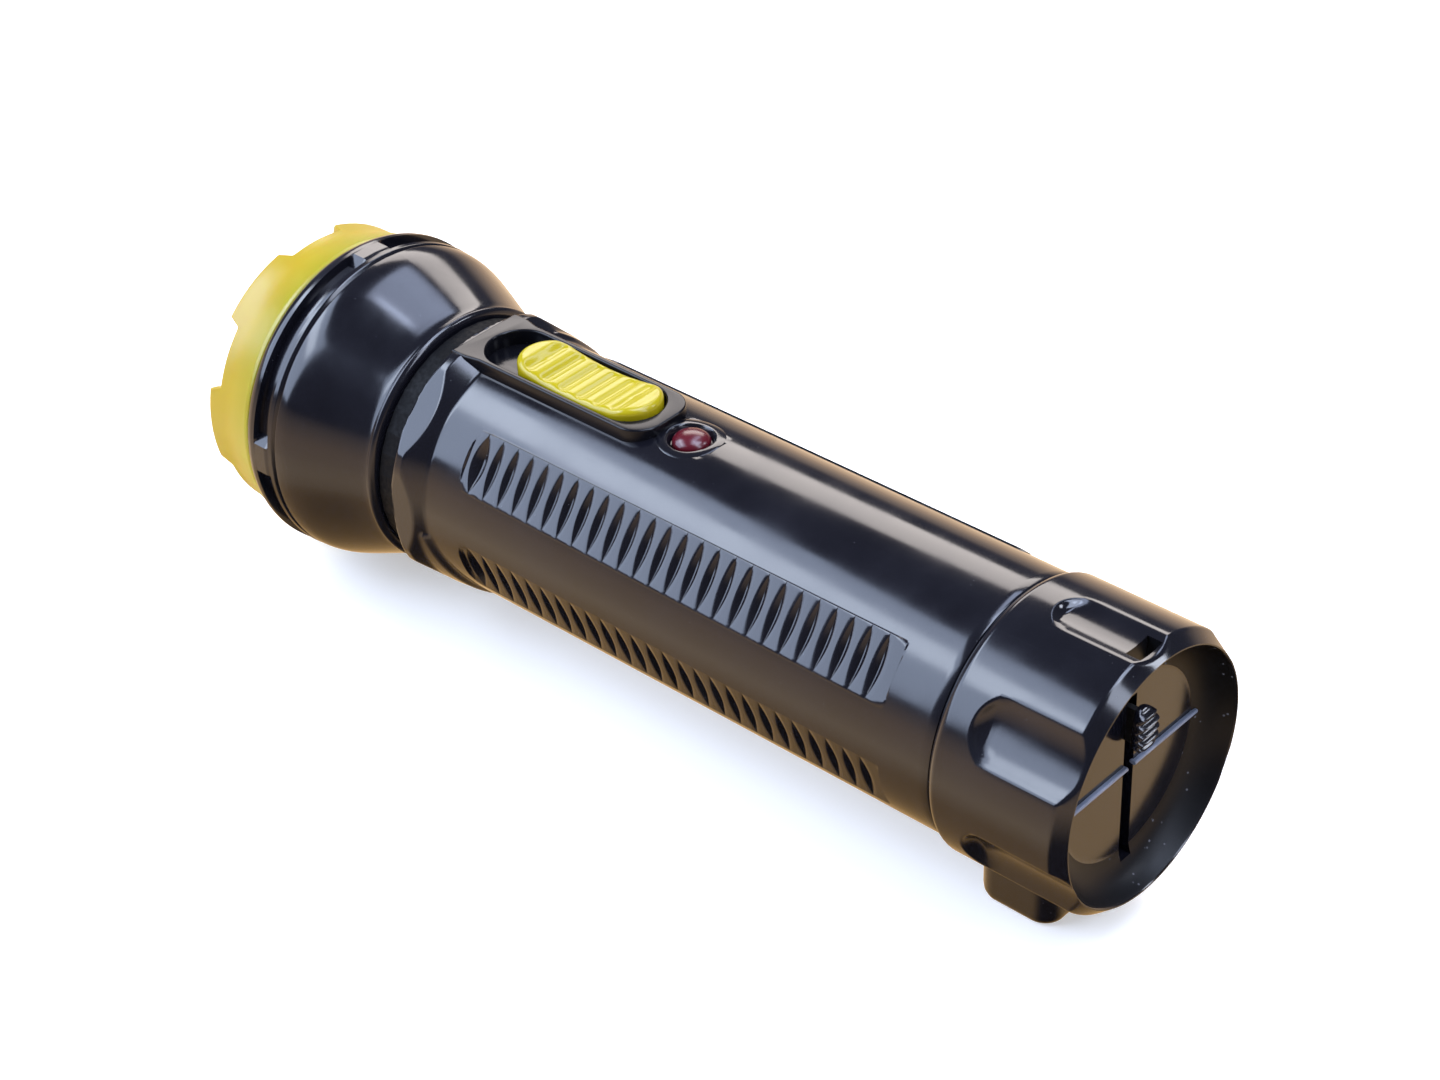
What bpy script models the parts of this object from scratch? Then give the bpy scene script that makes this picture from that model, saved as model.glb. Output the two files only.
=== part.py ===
"""Rechargeable firefighter flashlight with a slide switch and a retractable mains plug.

The tube lies level along X with the tail towards +X and the beam towards -X.
Distances called s run from the tail rim towards the head, and heights called
h are measured from the tube's axis, both in metres.
"""
import math

import bmesh
import bpy
from mathutils import Matrix, Vector

MM = 0.001
GAP = 0.3 * MM
WELD_DISTANCE = 0.01 * MM
SHARP_ANGLE = 35.0

# Driving dimensions of the whole flashlight.
LENGTH = 172.6 * MM
CAP_RADIUS = 22.0 * MM
BODY_RADIUS = 20.9 * MM
HEAD_RADIUS = 27.3 * MM
AXIS_HEIGHT = HEAD_RADIUS
TAIL_X = LENGTH / 2
ROUND_STEPS = 40
SMALL_STEPS = 14

# Tail cap, its dished end and the boss that guides the mains pins.
CAP_LENGTH = 23.36 * MM
CAP_CHAMFER = 2.0 * MM
RIM_RADIUS = 20.3 * MM
CAP_BORE = 19.5 * MM
DISH_FLOOR = 4.6 * MM
DISH_RADIUS = 15.5 * MM
PLATE_BACK = 6.8 * MM
KNOB_SLOT_WIDTH = 1.7 * MM
KNOB_SLOT_LOW = -17.0 * MM
KNOB_SLOT_HIGH = 12.2 * MM
FACE_RIB_HEIGHT = 0.5 * MM
BOSS_REAR = 9.2 * MM
BOSS_FRONT = 23.1 * MM
BOSS_HALF_WIDTH = 10.7 * MM
BOSS_FLOOR = 1.5 * MM
BOSS_WALL = 1.5 * MM
BOSS_CORNER = 3.5 * MM
# Boss levels from its root in the cap down to the ground: height and growth of its plan.
BOSS_LEVELS = ((-18.0 * MM, 0.4 * MM), (-25.5 * MM, 0.0), (-AXIS_HEIGHT, -0.9 * MM))
BOSS_CAVITY_HALF_WIDTH = 9.2 * MM
BOSS_CAVITY_TOP = -12.0 * MM
PIN_HOLE_HALF_LENGTH = 3.7 * MM
PIN_HOLE_HALF_WIDTH = 1.25 * MM
FACE_RIB_HALF_LENGTH = 16.0 * MM
FACE_RIB_SPAN = (-0.5 * MM, 0.3 * MM)
EYE_SPAN = (1.9 * MM, 4.3 * MM)
EYE_HALF_WIDTH = 2.7 * MM
# From the dish floor's edge over the rim, and over the rounded lip at the front.
DISH_SIDE = ((4.1 * MM, 17.4 * MM), (2.6 * MM, 18.9 * MM), (0.5 * MM, 19.9 * MM), (0.0, 20.1 * MM))
CAP_LIP = ((22.0 * MM, CAP_RADIUS), (22.9 * MM, 21.75 * MM), (CAP_LENGTH, 21.1 * MM))
POST_RADIUS = 2.4 * MM
POST_FRONT = 10.6 * MM
POST_HOLE_RADIUS = 1.35 * MM
POST_HOLE_REAR = 7.2 * MM
# Finger scallops around the cap: centre and half width, in degrees from the top.
SCALLOPS = ((0.0, 10.3), (56.5, 13.5), (-56.5, 13.5), (116.0, 15.0), (-116.0, 15.0))
SCALLOP_CUTTER_RADIUS = 14.0 * MM
SCALLOP_FRONT = 17.8 * MM

# Mains plug carriage.
PIN_PITCH = 12.7 * MM
PIN_THICKNESS = 1.5 * MM
PIN_WIDTH = 6.3 * MM
PIN_LENGTH = 19.1 * MM
PIN_S = 16.0 * MM
CARRIER_REAR = 11.2 * MM
CARRIER_FRONT = 20.2 * MM
CARRIER_HALF_WIDTH = 8.6 * MM
CARRIER_LOW = -7.5 * MM
CARRIER_HIGH = 1.5 * MM
STEM_LOW = 4.5 * MM
STEM_HIGH = 10.5 * MM
SCREW_Y = 12.7 * MM
SCREW_HEIGHT = 2.0 * MM
SCREW_SLOT_HALF_WIDTH = 0.3 * MM
SCREW_SLOT_REAR = 13.2 * MM
# Screw outline: thread, then the pan head.
SCREW_OUTLINE = (
    (7.6 * MM, 0.0), (7.6 * MM, 1.0 * MM), (12.4 * MM, 1.0 * MM), (12.4 * MM, 2.1 * MM),
    (13.1 * MM, 2.0 * MM), (13.6 * MM, 1.4 * MM), (13.6 * MM, 0.0),
)
GUIDE_LOW = -13.5 * MM
GUIDE_HIGH = 10.0 * MM
GUIDE_REAR = 10.9 * MM
GUIDE_BACK = (21.3 * MM, 22.4 * MM)
GUIDE_WALL_INNER = 8.9 * MM
GUIDE_WALL_OUTER = 10.3 * MM
FLANGE_REACH = (9.5 * MM, 14.9 * MM)
FLANGE_FRONT = 12.1 * MM
FLANGE_SPAN = (-1.5 * MM, 5.5 * MM)
FLANGE_HOLE_RADIUS = 1.4 * MM
WIRE_HOLE_RADIUS = 1.2 * MM
WIRE_HOLE_HEIGHT = 4.0 * MM
ARM_REAR = 8.0 * MM
ARM_HALF_WIDTH = 3.0 * MM
ARM_LOW = 0.3 * MM
BLADE_REAR = 3.6 * MM
BLADE_HALF_WIDTH = 0.5 * MM
KNOB_FACE = 0.9 * MM
KNOB_BACK = 3.3 * MM
KNOB_HALF_WIDTH = 2.4 * MM
KNOB_CORNER = 0.5 * MM
KNOB_LOW = 3.9 * MM
KNOB_HIGH = 11.3 * MM
KNOB_GROOVE_COUNT = 4
KNOB_GROOVE_FIRST = 5.3 * MM
KNOB_GROOVE_PITCH = 1.55 * MM
KNOB_GROOVE_HALF_WIDTH = 0.35 * MM
KNOB_GROOVE_FLOOR = 1.4 * MM
PIN_TIP_LENGTH = 1.2 * MM
PIN_TIP_SHRINK = 0.45 * MM
CONTACT_SPAN = (20.55 * MM, 20.95 * MM)
CONTACT_HALF_WIDTH = 0.8 * MM
CONTACT_LOW = -13.0 * MM
CONTACT_HIGH = 5.2 * MM

# Body tube.
BODY_REAR = CAP_LENGTH + GAP
BODY_BORE = 17.6 * MM
SPIGOT_REAR = 19.5 * MM
SPIGOT_RADIUS = 19.2 * MM
COLLAR_REAR = 125.0 * MM
COLLAR_CORNER = 128.7 * MM
COLLAR_FRONT = 131.1 * MM
COLLAR_CORNER_RADIUS = 23.0 * MM
COLLAR_APOTHEM = 22.0 * MM
NECK_RADIUS = 19.8 * MM
NECK_FRONT = 145.0 * MM
COLLAR_FRONT_RADIUS = 22.4 * MM
COLLAR_FRONT_BEVEL = 0.9 * MM
BOSS_NOTCH_HALF_WIDTH = 11.8 * MM
BOSS_NOTCH_SPAN = (-22.0 * MM, -10.0 * MM)
# The heel: where it starts, how it leans, and its rises over the tube.
HEEL_START = 124.5 * MM
HEEL_LEAN_ANGLE = 214.0
HEEL_LEAN_OFFSET = 0.44
HEEL_SWEEP = 5.9 * MM
HEEL_FOOT = -0.4 * MM
HEEL_LEVELS = ((-0.2 * MM, HEEL_FOOT), (1.3 * MM, 0.75 * MM), (4.0 * MM, 1.05 * MM))

# Grip panels: four flats along the tube, each with a row of lens-shaped notches.
PANEL_ANGLES = (54.6, -54.6, 108.5, -108.5)
PANEL_HEIGHT = 20.57 * MM
PANEL_HALF_WIDTH = 5.1 * MM
PANEL_REAR = 32.8 * MM
PANEL_FRONT = 118.3 * MM
PANEL_FRONT_CORNER = 3.2 * MM
PANEL_REAR_CORNER = 1.2 * MM
PANEL_PAD_DEPTH = 2.5 * MM
NOTCH_COUNT = 26
NOTCH_FIRST = 36.1 * MM
NOTCH_PITCH = 3.19 * MM
NOTCH_DEPTH = 0.85 * MM
NOTCH_HALF_LENGTH = 4.4 * MM
NOTCH_HALF_WIDTH = 1.0 * MM
FIRST_NOTCH_WIDENING = 1.5

# Switch platform and button.
PLATFORM_REAR = 90.6 * MM
PLATFORM_TOP = 22.2 * MM
PLATFORM_HALF_WIDTH = 6.5 * MM
PLATFORM_CORNER = 4.6 * MM
PLATFORM_EDGE = 0.3 * MM
PLATFORM_FOOT = 0.6 * MM
PLATFORM_FOOT_HEIGHT = 20.0 * MM
PLATFORM_ROOT = 18.0 * MM
RECESS_REAR = 93.1 * MM
RECESS_FRONT = 128.0 * MM
RECESS_HALF_WIDTH = 5.5 * MM
RECESS_FLOOR = 19.6 * MM
BUTTON_REAR = 93.5 * MM
BUTTON_FRONT = 121.0 * MM
BUTTON_HALF_WIDTH = 5.15 * MM
BUTTON_END_TOP = 23.6 * MM
BUTTON_DIP_TOP = 22.3 * MM
BUTTON_LOW = RECESS_FLOOR + 0.35 * MM
BUTTON_EDGE = 0.9 * MM
BUTTON_END_DROP = 1.3 * MM
SWITCH_TRAVEL = 6.2 * MM
BUTTON_STEM_LENGTH = 8.0 * MM
BUTTON_STEM_WIDTH = 3.0 * MM
STEM_SLOT_HALF_WIDTH = 1.9 * MM
STEM_SLOT_SLACK = 0.4 * MM
SLIDER_HALF_LENGTH = 6.5 * MM
SLIDER_HALF_WIDTH = 3.6 * MM
SLIDER_SPAN = (14.5 * MM, 16.2 * MM)
SWITCH_BASE_ENDS = (92.0 * MM, 124.5 * MM)
SWITCH_BASE_HALF_WIDTH = 5.5 * MM
SWITCH_BASE_SPAN = (10.0 * MM, 13.2 * MM)
BASE_WALL_THICKNESS = 2.0 * MM
BASE_WALL_HALF_WIDTH = 4.0 * MM
BASE_WALL_TOP = 16.8 * MM
SWITCH_CONTACT_REAR = (96.0 * MM, 107.0 * MM)
SWITCH_CONTACT_FRONT = (109.5 * MM, 120.5 * MM)
SWITCH_CONTACT_HALF_WIDTH = 2.2 * MM
SWITCH_CONTACT_SPAN = (13.6 * MM, 14.1 * MM)

# Charging light.
INDICATOR_S = 86.1 * MM
INDICATOR_RADIUS = 3.0 * MM
INDICATOR_CROWN = 21.2 * MM
INDICATOR_RIM = 20.3 * MM
INDICATOR_FOOT = 19.6 * MM
SINK_RADIUS = 3.4 * MM
SINK_MOUTH_RADIUS = 4.2 * MM
SINK_SPAN = (19.3 * MM, 22.3 * MM)
INDICATOR_HOLE_RADIUS = 2.0 * MM
# Lamp outline of (radius, height) from its tip down to its rim.
LAMP_OUTLINE = (
    (0.0, 19.0 * MM), (0.9 * MM, 18.7 * MM), (1.5 * MM, 17.8 * MM), (1.5 * MM, 14.5 * MM),
    (1.8 * MM, 14.5 * MM), (1.8 * MM, 13.6 * MM), (0.0, 13.6 * MM),
)

# Head.
HEAD_REAR = 136.07 * MM
BEZEL_REAR = 160.9 * MM
SEAM_S = 154.0 * MM
HEAD_SLOT_S = 156.6 * MM
HEAD_SLOT_WIDTH = 2.6 * MM
HEAD_SLOT_RADIUS = 26.0 * MM
HEAD_LAND_WIDTH = 5.2 * MM
HEAD_LAND_TURN = -1.5
BEZEL_BORE = 21.8 * MM
LENS_RADIUS = 23.0 * MM
LENS_REAR = 164.7 * MM
LENS_FRONT = 167.0 * MM
TOOTH_COUNT = 6
TOOTH_DEPTH = 2.5 * MM
TOOTH_FLOOR_HALF = 5.9 * MM
TOOTH_MOUTH_HALF = 7.0 * MM
SKIRT_REAR = 153.4 * MM
SKIRT_RADIUS = 24.9 * MM
# Outlines of (s, radius): the head outside and inside, and the bezel outside.
HEAD_OUTSIDE = (
    (HEAD_REAR, 21.1 * MM), (136.9 * MM, 22.0 * MM), (137.5 * MM, 21.6 * MM),
    (139.7 * MM, 22.05 * MM), (143.0 * MM, 23.4 * MM), (147.4 * MM, 25.65 * MM),
    (150.2 * MM, 26.7 * MM), (152.6 * MM, 26.95 * MM), (SEAM_S, 26.5 * MM),
    (155.0 * MM, 27.1 * MM), (156.0 * MM, HEAD_RADIUS), (159.0 * MM, HEAD_RADIUS),
    (BEZEL_REAR - 0.25 * MM, 26.6 * MM),
)
HEAD_INSIDE = (
    (BEZEL_REAR - 0.25 * MM, 25.2 * MM), (153.0 * MM, 25.2 * MM), (153.0 * MM, 24.4 * MM),
    (150.0 * MM, 23.2 * MM), (146.5 * MM, 20.1 * MM),
)
BEZEL_OUTSIDE = (
    (SKIRT_REAR, SKIRT_RADIUS), (BEZEL_REAR, SKIRT_RADIUS), (BEZEL_REAR, 26.35 * MM),
    (162.5 * MM, 26.05 * MM), (165.5 * MM, 25.4 * MM), (168.5 * MM, 24.95 * MM),
    (LENGTH - 0.8 * MM, 24.85 * MM), (LENGTH, 24.2 * MM),
)
BEZEL_LIP = ((LENGTH, 22.9 * MM), (LENGTH - 0.6 * MM, 22.4 * MM))
NECK_GASKET = ((131.5 * MM, 135.7 * MM), 20.1 * MM, 20.6 * MM)
LENS_GASKET = ((163.0 * MM, 164.3 * MM), 21.6 * MM, 22.8 * MM)
REFLECTOR_REAR = 144.2 * MM
REFLECTOR_FRONT = 161.9 * MM
REFLECTOR_RADIUS = 21.0 * MM
REFLECTOR_HOLE = 4.5 * MM
REFLECTOR_WALL = 1.2 * MM
REFLECTOR_FLANGE_RADIUS = 22.6 * MM
HOLDER_SPAN = (136.5 * MM, 140.6 * MM)
HOLDER_RADIUS = 17.0 * MM
HOLDER_HOLE_RADIUS = 1.3 * MM
HOLDER_HOLE_Y = 9.0 * MM
HOLDER_HOLE_HEIGHT = 5.0 * MM
LED_BOARD_SPAN = (140.9 * MM, 142.5 * MM)
LED_BOARD_RADIUS = 12.5 * MM
LED_REAR = 142.8 * MM
LED_BASE_FRONT = 143.5 * MM
LED_BASE_RADIUS = 2.9 * MM
LED_DOME_RADIUS = 2.2 * MM

# Battery and charger.
BATTERY_RADIUS = 9.2 * MM
BATTERY_REAR = 50.0 * MM
BATTERY_FRONT = 115.0 * MM
BATTERY_DROP = -5.0 * MM
BOARD_REAR = 34.0 * MM
BOARD_FRONT = 35.6 * MM
BOARD_RADIUS = 16.8 * MM
WIRE_RADIUS = 0.6 * MM
# Cell outline of (s, radius): flat end, crimp near the other end, and the small button.
CELL_OUTLINE = (
    (BATTERY_REAR, 0.0), (BATTERY_REAR, 8.6 * MM), (BATTERY_REAR + 0.5 * MM, BATTERY_RADIUS),
    (BATTERY_FRONT - 4.0 * MM, BATTERY_RADIUS), (BATTERY_FRONT - 3.4 * MM, 8.7 * MM),
    (BATTERY_FRONT - 2.8 * MM, BATTERY_RADIUS), (BATTERY_FRONT - 1.6 * MM, BATTERY_RADIUS),
    (BATTERY_FRONT - 1.2 * MM, 8.6 * MM), (BATTERY_FRONT - 1.2 * MM, 2.8 * MM),
    (BATTERY_FRONT, 2.7 * MM), (BATTERY_FRONT, 0.0),
)
CRADLE_RADIUS = 17.1 * MM
CRADLE_REAR_CHEEK = (52.0 * MM, 54.5 * MM)
CRADLE_FRONT_CHEEK = (106.0 * MM, 108.5 * MM)
CRADLE_TOP = 7.0 * MM
CRADLE_RAIL_REACH = (11.0 * MM, 14.0 * MM)
CRADLE_RAIL_SPAN = (-7.0 * MM, -3.0 * MM)
SPRING_TURNS = 3
SPRING_STEPS = 14
SPRING_WIRE_RADIUS = 0.4 * MM
SPRING_RADII = (5.2 * MM, 3.0 * MM)
SPRING_SPAN = (44.6 * MM, 49.4 * MM)
SPRING_PLATE_SPAN = (43.4 * MM, 43.8 * MM)
SPRING_PLATE_HALF = 6.5 * MM
POSITIVE_PLATE_SPAN = (115.5 * MM, 115.9 * MM)
POSITIVE_PLATE_HALF_WIDTH = 5.0 * MM
POSITIVE_PLATE_REACH = (-6.0 * MM, 8.0 * MM)
FILM_LENGTH = 7.0 * MM
FILM_ACROSS = (-12.0 * MM, -2.0 * MM)
FILM_SPAN = (6.5 * MM, 11.5 * MM)
FILM_EDGE = 0.5 * MM
CAN_LENGTH = 9.0 * MM
CAN_RADIUS = 3.2 * MM
CAN_HEIGHT = 9.0 * MM
CAN_Y = 6.0 * MM
DIODE_RADIUS = 1.3 * MM
DIODE_HALF_LENGTH = 2.4 * MM
DIODE_CLEARANCE = 1.6 * MM
# Sideways offset and height of each diode on the charger board.
DIODE_PLACES = (
    (-10.5 * MM, -8.1 * MM), (-3.5 * MM, -12.6 * MM), (3.5 * MM, -12.6 * MM),
    (10.5 * MM, -8.1 * MM),
)
RESISTOR_RADIUS = 1.2 * MM
RESISTOR_CLEARANCE = 1.5 * MM
RESISTOR_Y = 9.5 * MM
RESISTOR_SPAN = (-2.0 * MM, 4.5 * MM)

BLACK = (0.012, 0.012, 0.014, 1.0)
YELLOW = (0.85, 0.62, 0.06, 1.0)
LEMON = (0.90, 0.78, 0.03, 1.0)
RED = (0.35, 0.01, 0.02, 1.0)
STEEL = (0.60, 0.60, 0.62, 1.0)
BRASS = (0.75, 0.55, 0.25, 1.0)
GREEN = (0.03, 0.18, 0.06, 1.0)
WHITE = (0.85, 0.85, 0.83, 1.0)
TAN = (0.55, 0.45, 0.30, 1.0)
GLASS = (0.92, 0.95, 0.96, 1.0)
COPPER_RED = (0.50, 0.02, 0.02, 1.0)
NAVY = (0.02, 0.05, 0.22, 1.0)

# Wires: colour, then stops of (s, y, h) in millimetres.
WIRE_ROUTES = {
    "wire_cell_to_switch": (RED, (
        (116.5, 2.0, -4.0), (119.0, 2.5, 0.0), (120.0, 2.5, 9.4),
    )),
    "wire_switch_to_lamp": (RED, (
        (125.1, 3.0, 11.5), (129.0, 5.0, 9.0), (134.0, 9.0, 5.0), (140.3, 9.0, 5.0),
    )),
    "wire_ground_to_lamp": (BLACK, (
        (44.2, -4.0, 1.0), (47.5, -8.0, 6.0), (51.0, -11.0, 8.6), (126.0, -11.0, 8.6),
        (134.0, -9.0, 5.0), (140.3, -9.0, 5.0),
    )),
    "wire_charger_to_switch": (COPPER_RED, (
        (36.2, 11.5, 6.0), (46.0, 10.5, 8.6), (84.0, 9.5, 8.8), (90.0, 4.0, 11.5),
        (91.6, 4.0, 11.5),
    )),
    "wire_mains_left": (COPPER_RED, ((21.35, -6.35, 4.0), (28.0, -6.35, 4.0), (33.7, -8.0, 0.0))),
    "wire_mains_right": (NAVY, ((21.35, 6.35, 4.0), (28.0, 6.35, 4.0), (33.7, 8.0, 0.0))),
}


def point(s, y=0.0, h=0.0):
    """World position from a distance s, a sideways offset y and a height h over the axis."""
    return Vector((TAIL_X - s, y, AXIS_HEIGHT + h))


def new_material(name, colour, roughness, metallic):
    material = bpy.data.materials.new(name)
    material.use_nodes = True
    shader = material.node_tree.nodes["Principled BSDF"]
    shader.inputs["Base Color"].default_value = colour
    shader.inputs["Roughness"].default_value = roughness
    shader.inputs["Metallic"].default_value = metallic
    return material


def start_scene():
    """Empties the scene and makes one collection for the parts and one for the cutters."""
    for old in list(bpy.data.objects):
        bpy.data.objects.remove(old, do_unlink=True)
    parts = bpy.data.collections.new("firefighter_flashlight")
    cutters = bpy.data.collections.new("cutters")
    for collection in (parts, cutters):
        bpy.context.scene.collection.children.link(collection)
    return parts, cutters


PARTS, CUTTERS = start_scene()


def mesh_object(name, bm):
    mesh = bpy.data.meshes.new(name)
    bm.to_mesh(mesh)
    bm.free()
    piece = bpy.data.objects.new(name, mesh)
    PARTS.objects.link(piece)
    return piece


def finish(piece, colour, roughness=0.4, metallic=0.0, smooth=True):
    """Gives a piece its own material and smooth round faces."""
    piece.data.materials.clear()
    piece.data.materials.append(new_material(piece.name, colour, roughness, metallic))
    if smooth:
        piece.data.shade_smooth()
        piece.data.set_sharp_from_angle(angle=math.radians(SHARP_ANGLE))
    return piece


def boolean(target, tool, operation="DIFFERENCE"):
    """Cuts, joins or intersects target with tool, which moves to the cutters."""
    modifier = target.modifiers.new(tool.name, "BOOLEAN")
    modifier.operation = operation
    modifier.object = tool
    if tool.name in PARTS.objects:
        PARTS.objects.unlink(tool)
        CUTTERS.objects.link(tool)
    tool.hide_render = True
    tool.display_type = "WIRE"
    return target


def box(name, s_range, y_range, h_range):
    """A box between two distances, two sideways offsets and two heights."""
    low = point(s_range[1], y_range[0], h_range[0])
    high = point(s_range[0], y_range[1], h_range[1])
    bm = bmesh.new()
    bmesh.ops.create_cube(bm, size=1.0)
    bmesh.ops.scale(bm, vec=high - low, verts=bm.verts)
    piece = mesh_object(name, bm)
    piece.location = (low + high) / 2
    return piece


def rod(name, radius, start, end, steps=SMALL_STEPS, end_radius=None):
    """A cylinder, or a cone when end_radius differs, between two points."""
    along = end - start
    bm = bmesh.new()
    bmesh.ops.create_cone(
        bm, cap_ends=True, segments=steps, radius1=radius,
        radius2=radius if end_radius is None else end_radius, depth=along.length,
    )
    piece = mesh_object(name, bm)
    piece.rotation_euler = along.to_track_quat("Z", "Y").to_euler()
    piece.location = (start + end) / 2
    return piece


def spin(piece, steps):
    """Turns a piece's outline right round its own Z axis."""
    screw = piece.modifiers.new("turn", "SCREW")
    screw.angle = 2 * math.pi
    screw.steps = steps
    screw.render_steps = steps
    screw.use_merge_vertices = True
    screw.merge_threshold = WELD_DISTANCE
    return piece


def sides(side, inner, outer):
    """The span from inner to outer on one side of the middle plane, low end first."""
    return min(side * inner, side * outer), max(side * inner, side * outer)


def lathe(name, profile, steps=ROUND_STEPS, h=0.0, y=0.0):
    """Turns a closed outline of (s, radius) points about a line parallel to the tube's axis.

    The outline runs along its outer side from tail to head and comes back inside.
    An outline that starts and ends at radius 0 makes a solid without a bore.
    """
    bm = bmesh.new()
    points = [bm.verts.new((radius, 0.0, -s)) for s, radius in profile]
    pairs = list(zip(points, points[1:]))
    if profile[0][1] > 0.0:
        pairs.append((points[-1], points[0]))
    for first, second in pairs:
        bm.edges.new((first, second))
    piece = mesh_object(name, bm)
    piece.location = point(0.0, y, h)
    piece.rotation_euler = (0.0, math.pi / 2, 0.0)
    return spin(piece, steps)


def plate(name, outline, thickness):
    """A flat outline thickened about its own plane, turned into a mesh."""
    curve = bpy.data.curves.new(name, "CURVE")
    curve.dimensions = "2D"
    curve.fill_mode = "BOTH"
    curve.extrude = thickness / 2
    spline = curve.splines.new("POLY")
    spline.points.add(len(outline) - 1)
    spline.use_cyclic_u = True
    for place, (x, y) in zip(spline.points, outline):
        place.co = (x, y, 0.0, 1.0)
    return curve_to_mesh(bpy.data.objects.new(name, curve))


def wire(name, path, radius, colour, sides=1):
    """A round wire along straight stretches between points."""
    curve = bpy.data.curves.new(name, "CURVE")
    curve.dimensions = "3D"
    curve.bevel_depth = radius
    curve.bevel_resolution = sides
    curve.use_fill_caps = True
    spline = curve.splines.new("POLY")
    spline.points.add(len(path) - 1)
    for place, corner in zip(spline.points, path):
        place.co = (*corner, 1.0)
    return finish(curve_to_mesh(bpy.data.objects.new(name, curve)), colour, 0.35)


def curve_to_mesh(source):
    """Replaces a curve object by a closed mesh object with welded caps."""
    name = source.name
    PARTS.objects.link(source)
    evaluated = source.evaluated_get(bpy.context.evaluated_depsgraph_get())
    mesh = bpy.data.meshes.new_from_object(evaluated)
    bm = bmesh.new()
    bm.from_mesh(mesh)
    bmesh.ops.remove_doubles(bm, verts=bm.verts, dist=0.000001)
    bmesh.ops.recalc_face_normals(bm, faces=bm.faces)
    bm.to_mesh(mesh)
    bm.free()
    curve = source.data
    bpy.data.objects.remove(source)
    bpy.data.curves.remove(curve)
    piece = bpy.data.objects.new(name, mesh)
    PARTS.objects.link(piece)
    return piece


def loft(name, sections):
    """A closed solid through rings with equal numbers of points, capped at both ends."""
    bm = bmesh.new()
    rings = [[bm.verts.new(place) for place in section] for section in sections]
    for ring, following in zip(rings, rings[1:]):
        for index in range(len(ring)):
            after = (index + 1) % len(ring)
            bm.faces.new((ring[index], ring[after], following[after], following[index]))
    bm.faces.new(rings[0])
    bm.faces.new(rings[-1])
    bmesh.ops.recalc_face_normals(bm, faces=bm.faces)
    return mesh_object(name, bm)


def rounded_rectangle(half_x, half_y, radius, steps=5):
    """Corner points of a rectangle with rounded corners, centred on the origin."""
    outline = []
    for quarter, (side_x, side_y) in enumerate(((1, 1), (-1, 1), (-1, -1), (1, -1))):
        for step in range(steps + 1):
            angle = math.pi / 2 * (quarter + step / steps)
            x = side_x * (half_x - radius) + radius * math.cos(angle)
            y = side_y * (half_y - radius) + radius * math.sin(angle)
            outline.append((x, y))
    return outline


def flat_block(name, s_range, half_width, corner, low, high, steps=5):
    """An upright block with a rounded rectangle as its plan."""
    half_length = (s_range[1] - s_range[0]) / 2
    piece = plate(name, rounded_rectangle(half_length, half_width, corner, steps), high - low)
    piece.location = point((s_range[0] + s_range[1]) / 2, 0.0, (low + high) / 2)
    return piece


def turn_about_axis(piece, degrees):
    """Turns a piece made at the top of the tube to another place around it.

    Positive angles go towards -Y, the side that shows the switch from the left.
    """
    centre = Matrix.Translation((0.0, 0.0, AXIS_HEIGHT))
    turn = Matrix.Rotation(math.radians(degrees), 4, "X")
    piece.matrix_world = centre @ turn @ centre.inverted() @ piece.matrix_basis
    return piece


# ---------------------------------------------------------------- tail cap


def scallop_axis_height(half_angle):
    """Height of a scallop cutter's axis that makes the scallop's edges fall at half_angle."""
    half_chord = CAP_RADIUS * math.sin(half_angle)
    rise = math.sqrt(SCALLOP_CUTTER_RADIUS ** 2 - half_chord ** 2)
    return CAP_RADIUS * math.cos(half_angle) + rise


def make_boss():
    """The boss under the cap: a rounded block that tapers slightly downwards."""
    middle = (BOSS_REAR + BOSS_FRONT) / 2
    half_length = (BOSS_FRONT - BOSS_REAR) / 2
    sections = []
    for h, grow in BOSS_LEVELS:
        front_grow = min(grow, 0.0)
        outline = rounded_rectangle(half_length + front_grow, BOSS_HALF_WIDTH + grow,
                                    BOSS_CORNER)
        sections.append([point(middle - x, y, h) for x, y in outline])
    return loft("boss", sections)


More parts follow.
